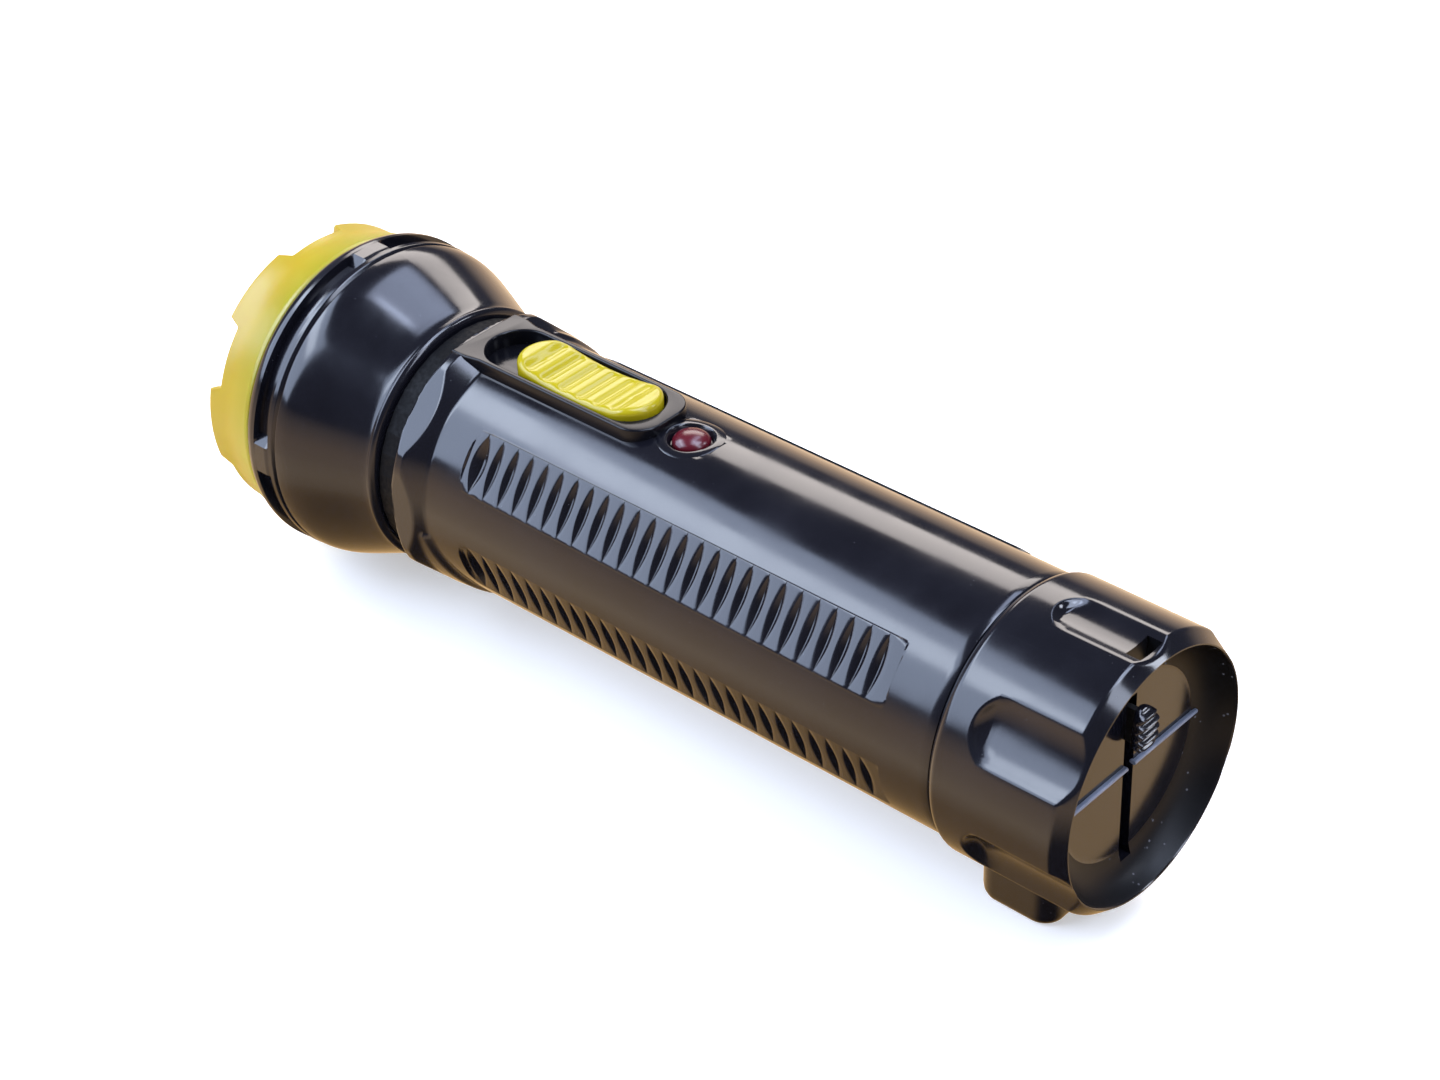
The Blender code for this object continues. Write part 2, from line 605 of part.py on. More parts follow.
def make_tail_cap():
    profile = [
        (DISH_FLOOR, 0.0), (DISH_FLOOR, DISH_RADIUS), *DISH_SIDE, (0.0, RIM_RADIUS),
        (CAP_CHAMFER, CAP_RADIUS), *CAP_LIP, (CAP_LENGTH, CAP_BORE), (PLATE_BACK, CAP_BORE),
        (PLATE_BACK, 0.0),
    ]
    cap = lathe("tail_cap", profile)
    boolean(cap, make_boss(), "UNION")
    rib = box("face_rib", (DISH_FLOOR - FACE_RIB_HEIGHT, DISH_FLOOR + GAP),
              (-FACE_RIB_HALF_LENGTH, FACE_RIB_HALF_LENGTH), FACE_RIB_SPAN)
    boolean(cap, rib, "UNION")
    for side in (-1, 1):
        post = rod(f"screw_post_{side}", POST_RADIUS,
                   point(PLATE_BACK - GAP, side * SCREW_Y, SCREW_HEIGHT),
                   point(POST_FRONT, side * SCREW_Y, SCREW_HEIGHT))
        boolean(cap, post, "UNION")
        hole = rod(f"post_hole_{side}", POST_HOLE_RADIUS,
                   point(POST_HOLE_REAR, side * SCREW_Y, SCREW_HEIGHT),
                   point(POST_FRONT + MM, side * SCREW_Y, SCREW_HEIGHT))
        boolean(cap, hole)
    cavity = box("boss_cavity", (BOSS_REAR + BOSS_WALL, BOSS_FRONT - BOSS_WALL),
                 (-BOSS_CAVITY_HALF_WIDTH, BOSS_CAVITY_HALF_WIDTH),
                 (-AXIS_HEIGHT + BOSS_FLOOR, BOSS_CAVITY_TOP))
    boolean(cap, cavity)
    for side in (-1, 1):
        pin_y = side * PIN_PITCH / 2
        hole = box(f"pin_hole_{side}", (PIN_S - PIN_HOLE_HALF_LENGTH, PIN_S + PIN_HOLE_HALF_LENGTH),
                   (pin_y - PIN_HOLE_HALF_WIDTH, pin_y + PIN_HOLE_HALF_WIDTH),
                   (-AXIS_HEIGHT - 2 * BOSS_FLOOR, -AXIS_HEIGHT + 2 * BOSS_FLOOR))
        boolean(cap, hole)
    slot = box("knob_slot", (DISH_FLOOR - 2 * MM, PLATE_BACK + MM),
               (-KNOB_SLOT_WIDTH / 2, KNOB_SLOT_WIDTH / 2), (KNOB_SLOT_LOW, KNOB_SLOT_HIGH))
    boolean(cap, slot)
    for index, (centre, half_width) in enumerate(SCALLOPS):
        height = scallop_axis_height(math.radians(half_width))
        scallop = rod(f"scallop_{index}", SCALLOP_CUTTER_RADIUS,
                      point(-5 * MM, 0.0, height), point(SCALLOP_FRONT, 0.0, height), 60)
        boolean(cap, turn_about_axis(scallop, centre))
    eye = box("lanyard_eye", EYE_SPAN, (-EYE_HALF_WIDTH, EYE_HALF_WIDTH),
              (CAP_RADIUS - 5 * MM, CAP_RADIUS + 2 * MM))
    boolean(cap, eye)
    return finish(cap, BLACK, 0.2)


# ---------------------------------------------------------------- mains plug


def make_plug_guide():
    """A frame open to the rear that the plug carriage slides up and down in."""
    guide = box("plug_guide", GUIDE_BACK, (-GUIDE_WALL_OUTER, GUIDE_WALL_OUTER),
                (GUIDE_LOW, GUIDE_HIGH))
    for side in (-1, 1):
        wall = box(f"guide_wall_{side}", (GUIDE_REAR, GUIDE_BACK[0] + 0.7 * MM),
                   sides(side, GUIDE_WALL_INNER, GUIDE_WALL_OUTER), (GUIDE_LOW, GUIDE_HIGH))
        boolean(guide, wall, "UNION")
        flange = box(f"guide_flange_{side}", (GUIDE_REAR, FLANGE_FRONT),
                     sides(side, *FLANGE_REACH), FLANGE_SPAN)
        boolean(guide, flange, "UNION")
        hole = rod(f"flange_hole_{side}", FLANGE_HOLE_RADIUS,
                   point(GUIDE_REAR - MM, side * SCREW_Y, SCREW_HEIGHT),
                   point(FLANGE_FRONT + MM, side * SCREW_Y, SCREW_HEIGHT))
        boolean(guide, hole)
        pin_y = side * PIN_PITCH / 2
        wire_hole = rod(f"guide_wire_hole_{side}", WIRE_HOLE_RADIUS,
                        point(GUIDE_BACK[0] - MM, pin_y, WIRE_HOLE_HEIGHT),
                        point(GUIDE_BACK[1] + MM, pin_y, WIRE_HOLE_HEIGHT))
        boolean(guide, wire_hole)
    return finish(guide, BLACK, 0.5, smooth=False)


def make_guide_screw(name, side):
    """A pan-head screw that holds the guide to a post behind the dished plate."""
    screw = lathe(name, SCREW_OUTLINE, SMALL_STEPS, SCREW_HEIGHT, side * SCREW_Y)
    slot = box(f"{name}_slot", (SCREW_SLOT_REAR, SCREW_SLOT_REAR + MM),
               (side * SCREW_Y - SCREW_SLOT_HALF_WIDTH, side * SCREW_Y + SCREW_SLOT_HALF_WIDTH),
               (SCREW_HEIGHT - 4 * MM, SCREW_HEIGHT + 4 * MM))
    boolean(screw, slot)
    return finish(screw, STEEL, 0.3, 1.0)


def make_plug_carrier():
    """The insulating block that carries both pins, with the arm and blade up to the knob."""
    carrier = box("plug_carrier", (CARRIER_REAR, CARRIER_FRONT),
                  (-CARRIER_HALF_WIDTH, CARRIER_HALF_WIDTH), (CARRIER_LOW, CARRIER_HIGH))
    arm = box("carrier_arm", (ARM_REAR, CARRIER_REAR + GAP), (-ARM_HALF_WIDTH, ARM_HALF_WIDTH),
              (ARM_LOW, STEM_HIGH))
    boolean(carrier, arm, "UNION")
    blade = box("carrier_blade", (BLADE_REAR, ARM_REAR + GAP),
                (-BLADE_HALF_WIDTH, BLADE_HALF_WIDTH), (STEM_LOW, STEM_HIGH))
    boolean(carrier, blade, "UNION")
    return finish(carrier, BLACK, 0.45, smooth=False)


def make_plug_knob():
    """The ribbed thumb grip that stands in the dished end."""
    knob = flat_block("plug_knob", (KNOB_FACE, KNOB_BACK), KNOB_HALF_WIDTH, KNOB_CORNER,
                      KNOB_LOW, KNOB_HIGH)
    for index in range(KNOB_GROOVE_COUNT):
        middle = KNOB_GROOVE_FIRST + index * KNOB_GROOVE_PITCH
        groove = box(f"knob_groove_{index}", (0.0, KNOB_GROOVE_FLOOR),
                     (-2 * KNOB_HALF_WIDTH, 2 * KNOB_HALF_WIDTH),
                     (middle - KNOB_GROOVE_HALF_WIDTH, middle + KNOB_GROOVE_HALF_WIDTH))
        boolean(knob, groove)
    return finish(knob, BLACK, 0.35, smooth=False)


def make_plug_pin(name, side):
    """A flat mains blade with a chamfered tip."""
    top = CARRIER_LOW - GAP
    tip = top - PIN_LENGTH
    pin_y = side * PIN_PITCH / 2
    levels = ((top, 0.0), (tip + PIN_TIP_LENGTH, 0.0), (tip, PIN_TIP_SHRINK))
    sections = []
    for h, shrink in levels:
        half_s = PIN_WIDTH / 2 - shrink
        half_y = PIN_THICKNESS / 2 - shrink
        corners = ((-1, -1), (1, -1), (1, 1), (-1, 1))
        sections.append([point(PIN_S + a * half_s, pin_y + b * half_y, h) for a, b in corners])
    return finish(loft(name, sections), BRASS, 0.25, 1.0, smooth=False)


def make_plug_contact(name, side):
    """The fixed spring strip that a pin's shank meets when the plug is out."""
    pin_y = side * PIN_PITCH / 2
    strip = box(name, CONTACT_SPAN, (pin_y - CONTACT_HALF_WIDTH, pin_y + CONTACT_HALF_WIDTH),
                (CONTACT_LOW, CONTACT_HIGH))
    return finish(strip, BRASS, 0.3, 1.0, smooth=False)


# ---------------------------------------------------------------- body tube


def make_collar_trim():
    """A ring with an octagonal hole that cuts eight flats on the collar."""
    trim = rod("collar_trim", 30 * MM, point(COLLAR_REAR + 0.5 * MM), point(COLLAR_FRONT + 0.5 * MM))
    reach = COLLAR_APOTHEM / math.cos(math.pi / 8)
    octagon = rod("octagon", reach, point(COLLAR_REAR - 5 * MM), point(COLLAR_FRONT + 5 * MM), 8)
    octagon.data.transform(Matrix.Rotation(math.pi / 8, 4, "Z"))
    return boolean(trim, octagon)


def heel_start(angle):
    """Distance at which the collar's low heel begins, which reaches back furthest underneath."""
    lean = math.cos(angle - math.radians(HEEL_LEAN_ANGLE)) + HEEL_LEAN_OFFSET
    return HEEL_START - max(lean, 0.0) * HEEL_SWEEP


def make_heel():
    """A low step that sweeps back from the collar under the tube and up its far side."""
    steps = ROUND_STEPS
    sections = []
    for forward, rise in HEEL_LEVELS:
        ring = []
        for step in range(steps):
            angle = 2 * math.pi * (step + 0.5) / steps
            start = heel_start(angle)
            radius = BODY_RADIUS + (rise if start < HEEL_START - 0.1 * MM else HEEL_FOOT)
            ring.append(point(start + forward, -radius * math.sin(angle), radius * math.cos(angle)))
        sections.append(ring)
    front = [point(COLLAR_FRONT - 0.5 * MM, place.y, place.z - AXIS_HEIGHT) for place in sections[-1]]
    sections.append(front)
    return loft("heel", sections)


def platform_half_width(s):
    """Half width of the switch platform, whose rear end is rounded."""
    corner = PLATFORM_CORNER
    back = PLATFORM_REAR + corner - s
    if back <= 0.0:
        return PLATFORM_HALF_WIDTH
    return PLATFORM_HALF_WIDTH - corner + math.sqrt(max(corner ** 2 - back ** 2, 0.0))


def make_platform():
    """The raised flat that carries the switch, a little wider at its foot."""
    steps = 6
    turns = [math.pi / 2 * step / steps for step in range(steps + 1)]
    places = [PLATFORM_REAR + PLATFORM_CORNER * (1 - math.cos(turn)) for turn in turns]
    places.append(COLLAR_FRONT - 0.4 * MM)
    sections = []
    for s in places:
        half = platform_half_width(s)
        foot = half + PLATFORM_FOOT
        side = ((foot, PLATFORM_ROOT), (foot, PLATFORM_FOOT_HEIGHT),
                (half, PLATFORM_TOP - PLATFORM_EDGE), (half - PLATFORM_EDGE, PLATFORM_TOP))
        outline = [(-y, h) for y, h in side] + list(reversed(side))
        sections.append([point(s, y, h) for y, h in outline])
    return loft("platform", sections)


def panel_outline_block(name, low, high):
    """A block on a grip panel's outline: rounded at the head end, squarer at the tail end."""
    outline = []
    length = PANEL_FRONT - PANEL_REAR
    for corner_x, corner_y, radius, turn in (
        (length, 1, PANEL_FRONT_CORNER, 0), (0.0, 1, PANEL_REAR_CORNER, 1),
        (0.0, -1, PANEL_REAR_CORNER, 2), (length, -1, PANEL_FRONT_CORNER, 3),
    ):
        centre_x = corner_x - radius if corner_x else radius
        centre_y = corner_y * (PANEL_HALF_WIDTH - radius)
        for step in range(5):
            angle = math.pi / 2 * (turn + step / 4)
            outline.append((centre_x + radius * math.cos(angle), centre_y + radius * math.sin(angle)))
    mirrored = [(-x, y) for x, y in reversed(outline)]
    block = plate(name, mirrored, high - low)
    block.location = point(PANEL_REAR, 0.0, (low + high) / 2)
    return block


def make_notches(angle_index):
    """A row of V cutters, each a short prism that runs out in a point at both ends."""
    bm = bmesh.new()
    lift = 0.2 * MM
    top = PANEL_HEIGHT + lift
    for index in range(NOTCH_COUNT):
        s = NOTCH_FIRST + index * NOTCH_PITCH
        half = NOTCH_HALF_WIDTH * (FIRST_NOTCH_WIDENING if index == NOTCH_COUNT - 1 else 1.0)
        rings = []
        for y in (-NOTCH_HALF_LENGTH / 2, NOTCH_HALF_LENGTH / 2):
            places = (point(s - half, y, top), point(s + half, y, top),
                      point(s, y, PANEL_HEIGHT - NOTCH_DEPTH))
            rings.append([bm.verts.new(place) for place in places])
        tips = [bm.verts.new(point(s, side * (NOTCH_HALF_LENGTH + lift), top)) for side in (-1, 1)]
        for corner in range(3):
            after = (corner + 1) % 3
            bm.faces.new((rings[0][corner], rings[0][after], rings[1][after], rings[1][corner]))
            for ring, tip in zip(rings, tips):
                bm.faces.new((ring[corner], ring[after], tip))
    bmesh.ops.recalc_face_normals(bm, faces=bm.faces)
    return mesh_object(f"notches_{angle_index}", bm)


def make_body_tube():
    outer = [
        (SPIGOT_REAR, 0.0), (SPIGOT_REAR, SPIGOT_RADIUS), (BODY_REAR, SPIGOT_RADIUS),
        (BODY_REAR, BODY_RADIUS - GAP), (BODY_REAR + GAP, BODY_RADIUS),
        (COLLAR_REAR, BODY_RADIUS), (COLLAR_CORNER, COLLAR_CORNER_RADIUS),
        (COLLAR_FRONT - COLLAR_FRONT_BEVEL, COLLAR_CORNER_RADIUS),
        (COLLAR_FRONT, COLLAR_FRONT_RADIUS),
        (COLLAR_FRONT, NECK_RADIUS), (NECK_FRONT, NECK_RADIUS), (NECK_FRONT, 0.0),
    ]
    body = lathe("body_tube", outer)
    boolean(body, make_heel(), "UNION")
    boolean(body, make_collar_trim())
    boolean(body, make_platform(), "UNION")
    for index, angle in enumerate(PANEL_ANGLES):
        flat = box(f"panel_flat_{index}", (PANEL_REAR - GAP, PANEL_FRONT + GAP),
                   (-PANEL_HALF_WIDTH, PANEL_HALF_WIDTH), (PANEL_HEIGHT - 0.05 * MM, 25 * MM))
        boolean(body, turn_about_axis(flat, angle))
        pad = panel_outline_block(f"panel_pad_{index}", PANEL_HEIGHT - PANEL_PAD_DEPTH, PANEL_HEIGHT)
        boolean(body, turn_about_axis(pad, angle), "UNION")
        boolean(body, turn_about_axis(make_notches(index), angle))
    recess = flat_block("switch_recess", (RECESS_REAR, RECESS_FRONT), RECESS_HALF_WIDTH,
                        RECESS_HALF_WIDTH - 0.01 * MM, RECESS_FLOOR, 26 * MM)
    boolean(body, recess)
    bore = rod("bore", BODY_BORE, point(SPIGOT_REAR - 5 * MM), point(NECK_FRONT + 5 * MM), ROUND_STEPS)
    boolean(body, bore)
    middle = (BUTTON_REAR + BUTTON_FRONT) / 2
    slot_reach = BUTTON_STEM_LENGTH / 2 + STEM_SLOT_SLACK
    slot = box("stem_slot", (middle - slot_reach, middle + slot_reach + SWITCH_TRAVEL),
               (-STEM_SLOT_HALF_WIDTH, STEM_SLOT_HALF_WIDTH),
               (BODY_BORE - 3.6 * MM, PLATFORM_TOP - 1.2 * MM))
    boolean(body, slot)
    sink = rod("indicator_sink", SINK_RADIUS, point(INDICATOR_S, 0.0, SINK_SPAN[0]),
               point(INDICATOR_S, 0.0, SINK_SPAN[1]), 24, SINK_MOUTH_RADIUS)
    sink.data.transform(Matrix.Rotation(math.pi / 24, 4, "Z"))
    boolean(body, sink)
    hole = rod("indicator_hole", INDICATOR_HOLE_RADIUS,
               point(INDICATOR_S, 0.0, BODY_BORE - 3.6 * MM), point(INDICATOR_S, 0.0, 20 * MM), 16)
    boolean(body, hole)
    notch = box("boss_notch", (SPIGOT_REAR - 2 * MM, BODY_REAR - 0.2 * MM),
                (-BOSS_NOTCH_HALF_WIDTH, BOSS_NOTCH_HALF_WIDTH), BOSS_NOTCH_SPAN)
    boolean(body, notch)
    return finish(body, BLACK, 0.2)


# ---------------------------------------------------------------- switch and indicator


def button_top(s):
    """Height of the button's saddle-shaped top at a distance s."""
    middle = (BUTTON_REAR + BUTTON_FRONT) / 2
    reach = (s - middle) / ((BUTTON_FRONT - BUTTON_REAR) / 2)
    return BUTTON_DIP_TOP + (BUTTON_END_TOP - BUTTON_DIP_TOP) * min(abs(reach) / 0.85, 1.0) ** 2


def make_switch_button():
    """The thumb button: round ends, a saddle-shaped top and a stem through the tube wall."""
    steps = 14
    radius = BUTTON_HALF_WIDTH
    length = BUTTON_FRONT - BUTTON_REAR
    sections = []
    for step in range(steps + 1):
        turn = math.pi * step / steps
        s = BUTTON_REAR + length * (0.5 - 0.5 * math.cos(turn)) * 0.998 + 0.02 * MM
        from_end = min(s - BUTTON_REAR, BUTTON_FRONT - s)
        short = max(radius - from_end, 0.0)
        half = math.sqrt(max(radius ** 2 - short ** 2, 0.04 * MM * radius))
        top = button_top(s) - BUTTON_END_DROP * (short / radius) ** 3
        ease = min(BUTTON_EDGE, half * 0.6)
        side = ((half, BUTTON_LOW), (half, top - ease),
                (half - ease * 0.35, top - ease * 0.35), (half - ease, top))
        outline = [(-y, h) for y, h in side] + list(reversed(side))
        sections.append([point(s, y, h) for y, h in outline])
    button = loft("switch_button", sections)
    middle = (BUTTON_REAR + BUTTON_FRONT) / 2
    stem = box("button_stem", (middle - BUTTON_STEM_LENGTH / 2, middle + BUTTON_STEM_LENGTH / 2),
               (-BUTTON_STEM_WIDTH / 2, BUTTON_STEM_WIDTH / 2), (16.5 * MM, 20.5 * MM))
    boolean(button, stem, "UNION")
    return finish(button, LEMON, 0.3)


def make_switch_slider():
    """The moving bridge under the stem that joins the two switch contacts."""
    middle = (BUTTON_REAR + BUTTON_FRONT) / 2
    slider = box("switch_slider", (middle - SLIDER_HALF_LENGTH, middle + SLIDER_HALF_LENGTH),
                 (-SLIDER_HALF_WIDTH, SLIDER_HALF_WIDTH), SLIDER_SPAN)
    return finish(slider, WHITE, 0.5, smooth=False)


def make_switch_base():
    """The fixed tray under the slider, with an end wall at each end that meets the tube."""
    base = box("switch_base", SWITCH_BASE_ENDS,
               (-SWITCH_BASE_HALF_WIDTH, SWITCH_BASE_HALF_WIDTH), SWITCH_BASE_SPAN)
    rear, front = SWITCH_BASE_ENDS
    for index, s in enumerate((rear, front - BASE_WALL_THICKNESS)):
        wall = box(f"base_wall_{index}", (s, s + BASE_WALL_THICKNESS),
                   (-BASE_WALL_HALF_WIDTH, BASE_WALL_HALF_WIDTH),
                   (SWITCH_BASE_SPAN[1] - 0.2 * MM, BASE_WALL_TOP))
        boolean(base, wall, "UNION")
    return finish(base, BLACK, 0.5, smooth=False)


def make_switch_contact(name, s_range):
    strip = box(name, s_range, (-SWITCH_CONTACT_HALF_WIDTH, SWITCH_CONTACT_HALF_WIDTH),
                SWITCH_CONTACT_SPAN)
    return finish(strip, BRASS, 0.3, 1.0, smooth=False)


def upright_lathe(name, outline, s, steps=16):
    """Turns an outline of (radius, height) about an upright line at a distance s.

    The outline starts on the line at the top, runs down the outer side and ends on the line.
    """
    bm = bmesh.new()
    points = [bm.verts.new((radius, 0.0, height)) for radius, height in outline]
    for first, second in zip(points, points[1:]):
        bm.edges.new((first, second))
    piece = mesh_object(name, bm)
    piece.location = point(s)
    return spin(piece, steps)


def make_indicator():
    """The red charging light: a low dome over a small lamp."""
    steps = 5
    outline = [(0.0, INDICATOR_CROWN)]
    for step in range(1, steps + 1):
        angle = math.pi / 2 * step / steps
        h = INDICATOR_RIM + (INDICATOR_CROWN - INDICATOR_RIM) * math.cos(angle)
        outline.append((INDICATOR_RADIUS * math.sin(angle), h))
    outline += [(INDICATOR_RADIUS, INDICATOR_FOOT), (0.0, INDICATOR_FOOT)]
    finish(upright_lathe("indicator_lens", outline, INDICATOR_S), RED, 0.12)
    finish(upright_lathe("indicator_lamp", LAMP_OUTLINE, INDICATOR_S, 12), RED, 0.2)


# ---------------------------------------------------------------- head


def make_head_shell():
    shell = lathe("head_shell", [(HEAD_REAR, 20.1 * MM), *HEAD_OUTSIDE, *HEAD_INSIDE])
    half = HEAD_SLOT_WIDTH / 2
    ring = lathe("slot_ring", [
        (HEAD_SLOT_S - half, HEAD_RADIUS + 1 * MM), (HEAD_SLOT_S + half, HEAD_RADIUS + 1 * MM),
        (HEAD_SLOT_S + half, HEAD_SLOT_RADIUS), (HEAD_SLOT_S - half, HEAD_SLOT_RADIUS),
    ])
    for index in range(2):
        land = box(f"slot_land_{index}", (HEAD_SLOT_S - 4 * MM, HEAD_SLOT_S + 4 * MM),
                   (-HEAD_LAND_WIDTH / 2, HEAD_LAND_WIDTH / 2), (-30 * MM, 30 * MM))
        boolean(ring, turn_about_axis(land, HEAD_LAND_TURN + 90 * index))
    boolean(shell, ring)
    return finish(shell, BLACK, 0.2)


def make_bezel_ring():
    """The yellow ring that holds the lens, notched into broad teeth at its front edge."""
    front = LENGTH
    profile = [
        *BEZEL_OUTSIDE, *BEZEL_LIP, (LENS_FRONT + GAP, BEZEL_BORE),
        (LENS_FRONT + GAP, LENS_RADIUS + GAP), (SKIRT_REAR, LENS_RADIUS + GAP),
    ]
    ring = lathe("bezel_ring", profile)
    for index in range(TOOTH_COUNT):
        sections = []
        for h in (18.0 * MM, 30.0 * MM):
            spread = h / SKIRT_RADIUS
            floor = TOOTH_FLOOR_HALF * spread
            mouth = TOOTH_MOUTH_HALF * spread
            outline = ((front - TOOTH_DEPTH, -floor), (front - TOOTH_DEPTH, floor),
                       (front + 1 * MM, mouth), (front + 1 * MM, -mouth))
            sections.append([point(s, y, h) for s, y in outline])
        gap_cutter = loft(f"tooth_gap_{index}", sections)
        boolean(ring, turn_about_axis(gap_cutter, 30 + 360 / TOOTH_COUNT * index))
    return finish(ring, YELLOW, 0.35)


def make_disc(name, s_range, radius, steps, h=0.0, y=0.0):
    """A solid disc or drum between two distances."""
    rear, front = s_range
    return lathe(name, [(rear, 0.0), (rear, radius), (front, radius), (front, 0.0)], steps, h, y)


def make_reflector():
    """A bright parabolic cup with a flange at its rim."""
    steps = 5
    span = REFLECTOR_FRONT - REFLECTOR_REAR
    focus4 = (REFLECTOR_RADIUS ** 2 - REFLECTOR_HOLE ** 2) / span
    offset = REFLECTOR_HOLE ** 2 / focus4
    inner = []
    for step in range(steps + 1):
        s = REFLECTOR_REAR + span * (step / steps) ** 1.5
        inner.append((s, math.sqrt(focus4 * (s - REFLECTOR_REAR + offset))))
    outer = [(s, radius + REFLECTOR_WALL) for s, radius in inner[:-1]]
    flange = [(REFLECTOR_FRONT - 1.0 * MM, REFLECTOR_FLANGE_RADIUS),
              (REFLECTOR_FRONT + 0.4 * MM, REFLECTOR_FLANGE_RADIUS),
              (REFLECTOR_FRONT + 0.4 * MM, REFLECTOR_RADIUS)]
    outer_end = (REFLECTOR_FRONT - 1.0 * MM, outer[-1][1] + 0.6 * MM)
    profile = outer + [outer_end] + flange + list(reversed(inner))
    return finish(lathe("reflector", profile, 32), STEEL, 0.08, 1.0)


def make_lens():
    return finish(make_disc("lens", (LENS_REAR, LENS_FRONT), LENS_RADIUS, 48), GLASS, 0.05)


def make_gasket(name, s_range, inner, outer):
    profile = [(s_range[0], outer), (s_range[1], outer), (s_range[1], inner), (s_range[0], inner)]
    return finish(lathe(name, profile, 36), BLACK, 0.8)


def make_led_parts():
    """The lamp on its round board, and the metal disc that holds the board in the neck."""
    holder = make_disc("led_holder", HOLDER_SPAN, HOLDER_RADIUS, 48)
    for side in (-1, 1):
        hole = rod(f"holder_hole_{side}", HOLDER_HOLE_RADIUS,
                   point(HOLDER_SPAN[0] - MM, side * HOLDER_HOLE_Y, HOLDER_HOLE_HEIGHT),
                   point(HOLDER_SPAN[1] + MM, side * HOLDER_HOLE_Y, HOLDER_HOLE_HEIGHT))
        boolean(holder, hole)
    finish(holder, STEEL, 0.4, 1.0)
    finish(make_disc("led_board", LED_BOARD_SPAN, LED_BOARD_RADIUS, 48), WHITE, 0.5)
    dome = [(LED_REAR, 0.0), (LED_REAR, LED_BASE_RADIUS), (LED_BASE_FRONT, LED_BASE_RADIUS)]
    for turn in (0.0, 0.5, 1.0):
        dome.append((LED_BASE_FRONT + LED_DOME_RADIUS * math.sin(turn),
                     LED_DOME_RADIUS * math.cos(turn)))
    dome.append((LED_BASE_FRONT + LED_DOME_RADIUS, 0.0))
    finish(lathe("led_emitter", dome, 24), YELLOW, 0.3)


# ---------------------------------------------------------------- battery and charger


def make_battery():
    return finish(lathe("battery_cell", CELL_OUTLINE, 24, BATTERY_DROP), NAVY, 0.3)


def make_battery_cradle():
    """Two cheeks joined by rails, which centre the cell low in the tube."""
    cradle = make_disc("battery_cradle", CRADLE_REAR_CHEEK, CRADLE_RADIUS, 36)
    front = make_disc("cradle_front", CRADLE_FRONT_CHEEK, CRADLE_RADIUS, 36)
    boolean(cradle, front, "UNION")
    for side in (-1, 1):
        rail = box(f"cradle_rail_{side}", (CRADLE_REAR_CHEEK[0] + MM, CRADLE_FRONT_CHEEK[0] + MM),
                   sides(side, *CRADLE_RAIL_REACH), CRADLE_RAIL_SPAN)
        boolean(cradle, rail, "UNION")
    top = box("cradle_top", (CRADLE_REAR_CHEEK[0] - 2 * MM, CRADLE_FRONT_CHEEK[1] + 2 * MM),
              (-20 * MM, 20 * MM), (CRADLE_TOP, 20 * MM))
    boolean(cradle, top)
    seat = rod("cradle_seat", BATTERY_RADIUS + GAP,
               point(CRADLE_REAR_CHEEK[0] - 4 * MM, 0.0, BATTERY_DROP),
               point(CRADLE_FRONT_CHEEK[1] + 4 * MM, 0.0, BATTERY_DROP), 24)
    boolean(cradle, seat)
    return finish(cradle, WHITE, 0.5)


def make_contact_spring():
    """The coil that presses on the cell's flat end."""
    count = SPRING_TURNS * SPRING_STEPS
    path = []
    for step in range(count + 1):
        fraction = step / count
        angle = 2 * math.pi * SPRING_TURNS * fraction
        radius = SPRING_RADII[0] + (SPRING_RADII[1] - SPRING_RADII[0]) * fraction
        s = SPRING_SPAN[0] + (SPRING_SPAN[1] - SPRING_SPAN[0]) * fraction
        path.append(point(s, radius * math.cos(angle), BATTERY_DROP + radius * math.sin(angle)))
    spring = wire("contact_spring", path, SPRING_WIRE_RADIUS, STEEL, 0)
    return finish(spring, STEEL, 0.25, 1.0)


def make_charger():
    """The round charger board and the parts soldered to its front."""
    finish(make_disc("charger_board", (BOARD_REAR, BOARD_FRONT), BOARD_RADIUS, 48), GREEN, 0.5)
    front = BOARD_FRONT + GAP
    film = box("film_capacitor", (front, front + FILM_LENGTH), FILM_ACROSS, FILM_SPAN)
    film.modifiers.new("soft_edges", "BEVEL").width = FILM_EDGE
    finish(film, COPPER_RED, 0.35, smooth=False)
    can = make_disc("smoothing_capacitor", (front, front + CAN_LENGTH), CAN_RADIUS, 24,
                    CAN_HEIGHT, CAN_Y)
    finish(can, NAVY, 0.3)
    for index, (y, h) in enumerate(DIODE_PLACES):
        s = front + DIODE_CLEARANCE
        diode = rod(f"diode_{index + 1}", DIODE_RADIUS, point(s, y - DIODE_HALF_LENGTH, h),
                    point(s, y + DIODE_HALF_LENGTH, h), 16)
        finish(diode, BLACK, 0.4)
    s = front + RESISTOR_CLEARANCE
    resistor = rod("resistor", RESISTOR_RADIUS, point(s, RESISTOR_Y, RESISTOR_SPAN[0]),
                   point(s, RESISTOR_Y, RESISTOR_SPAN[1]), 16)
    finish(resistor, TAN, 0.5)


def make_battery_contacts():
    base = box("spring_plate", SPRING_PLATE_SPAN, (-SPRING_PLATE_HALF, SPRING_PLATE_HALF),
               (BATTERY_DROP - SPRING_PLATE_HALF, BATTERY_DROP + SPRING_PLATE_HALF))
    finish(base, STEEL, 0.3, 1.0, smooth=False)
    low, high = POSITIVE_PLATE_REACH
    tongue = box("positive_plate", POSITIVE_PLATE_SPAN,
                 (-POSITIVE_PLATE_HALF_WIDTH, POSITIVE_PLATE_HALF_WIDTH),
                 (BATTERY_DROP + low, BATTERY_DROP + high))
    finish(tongue, STEEL, 0.3, 1.0, smooth=False)


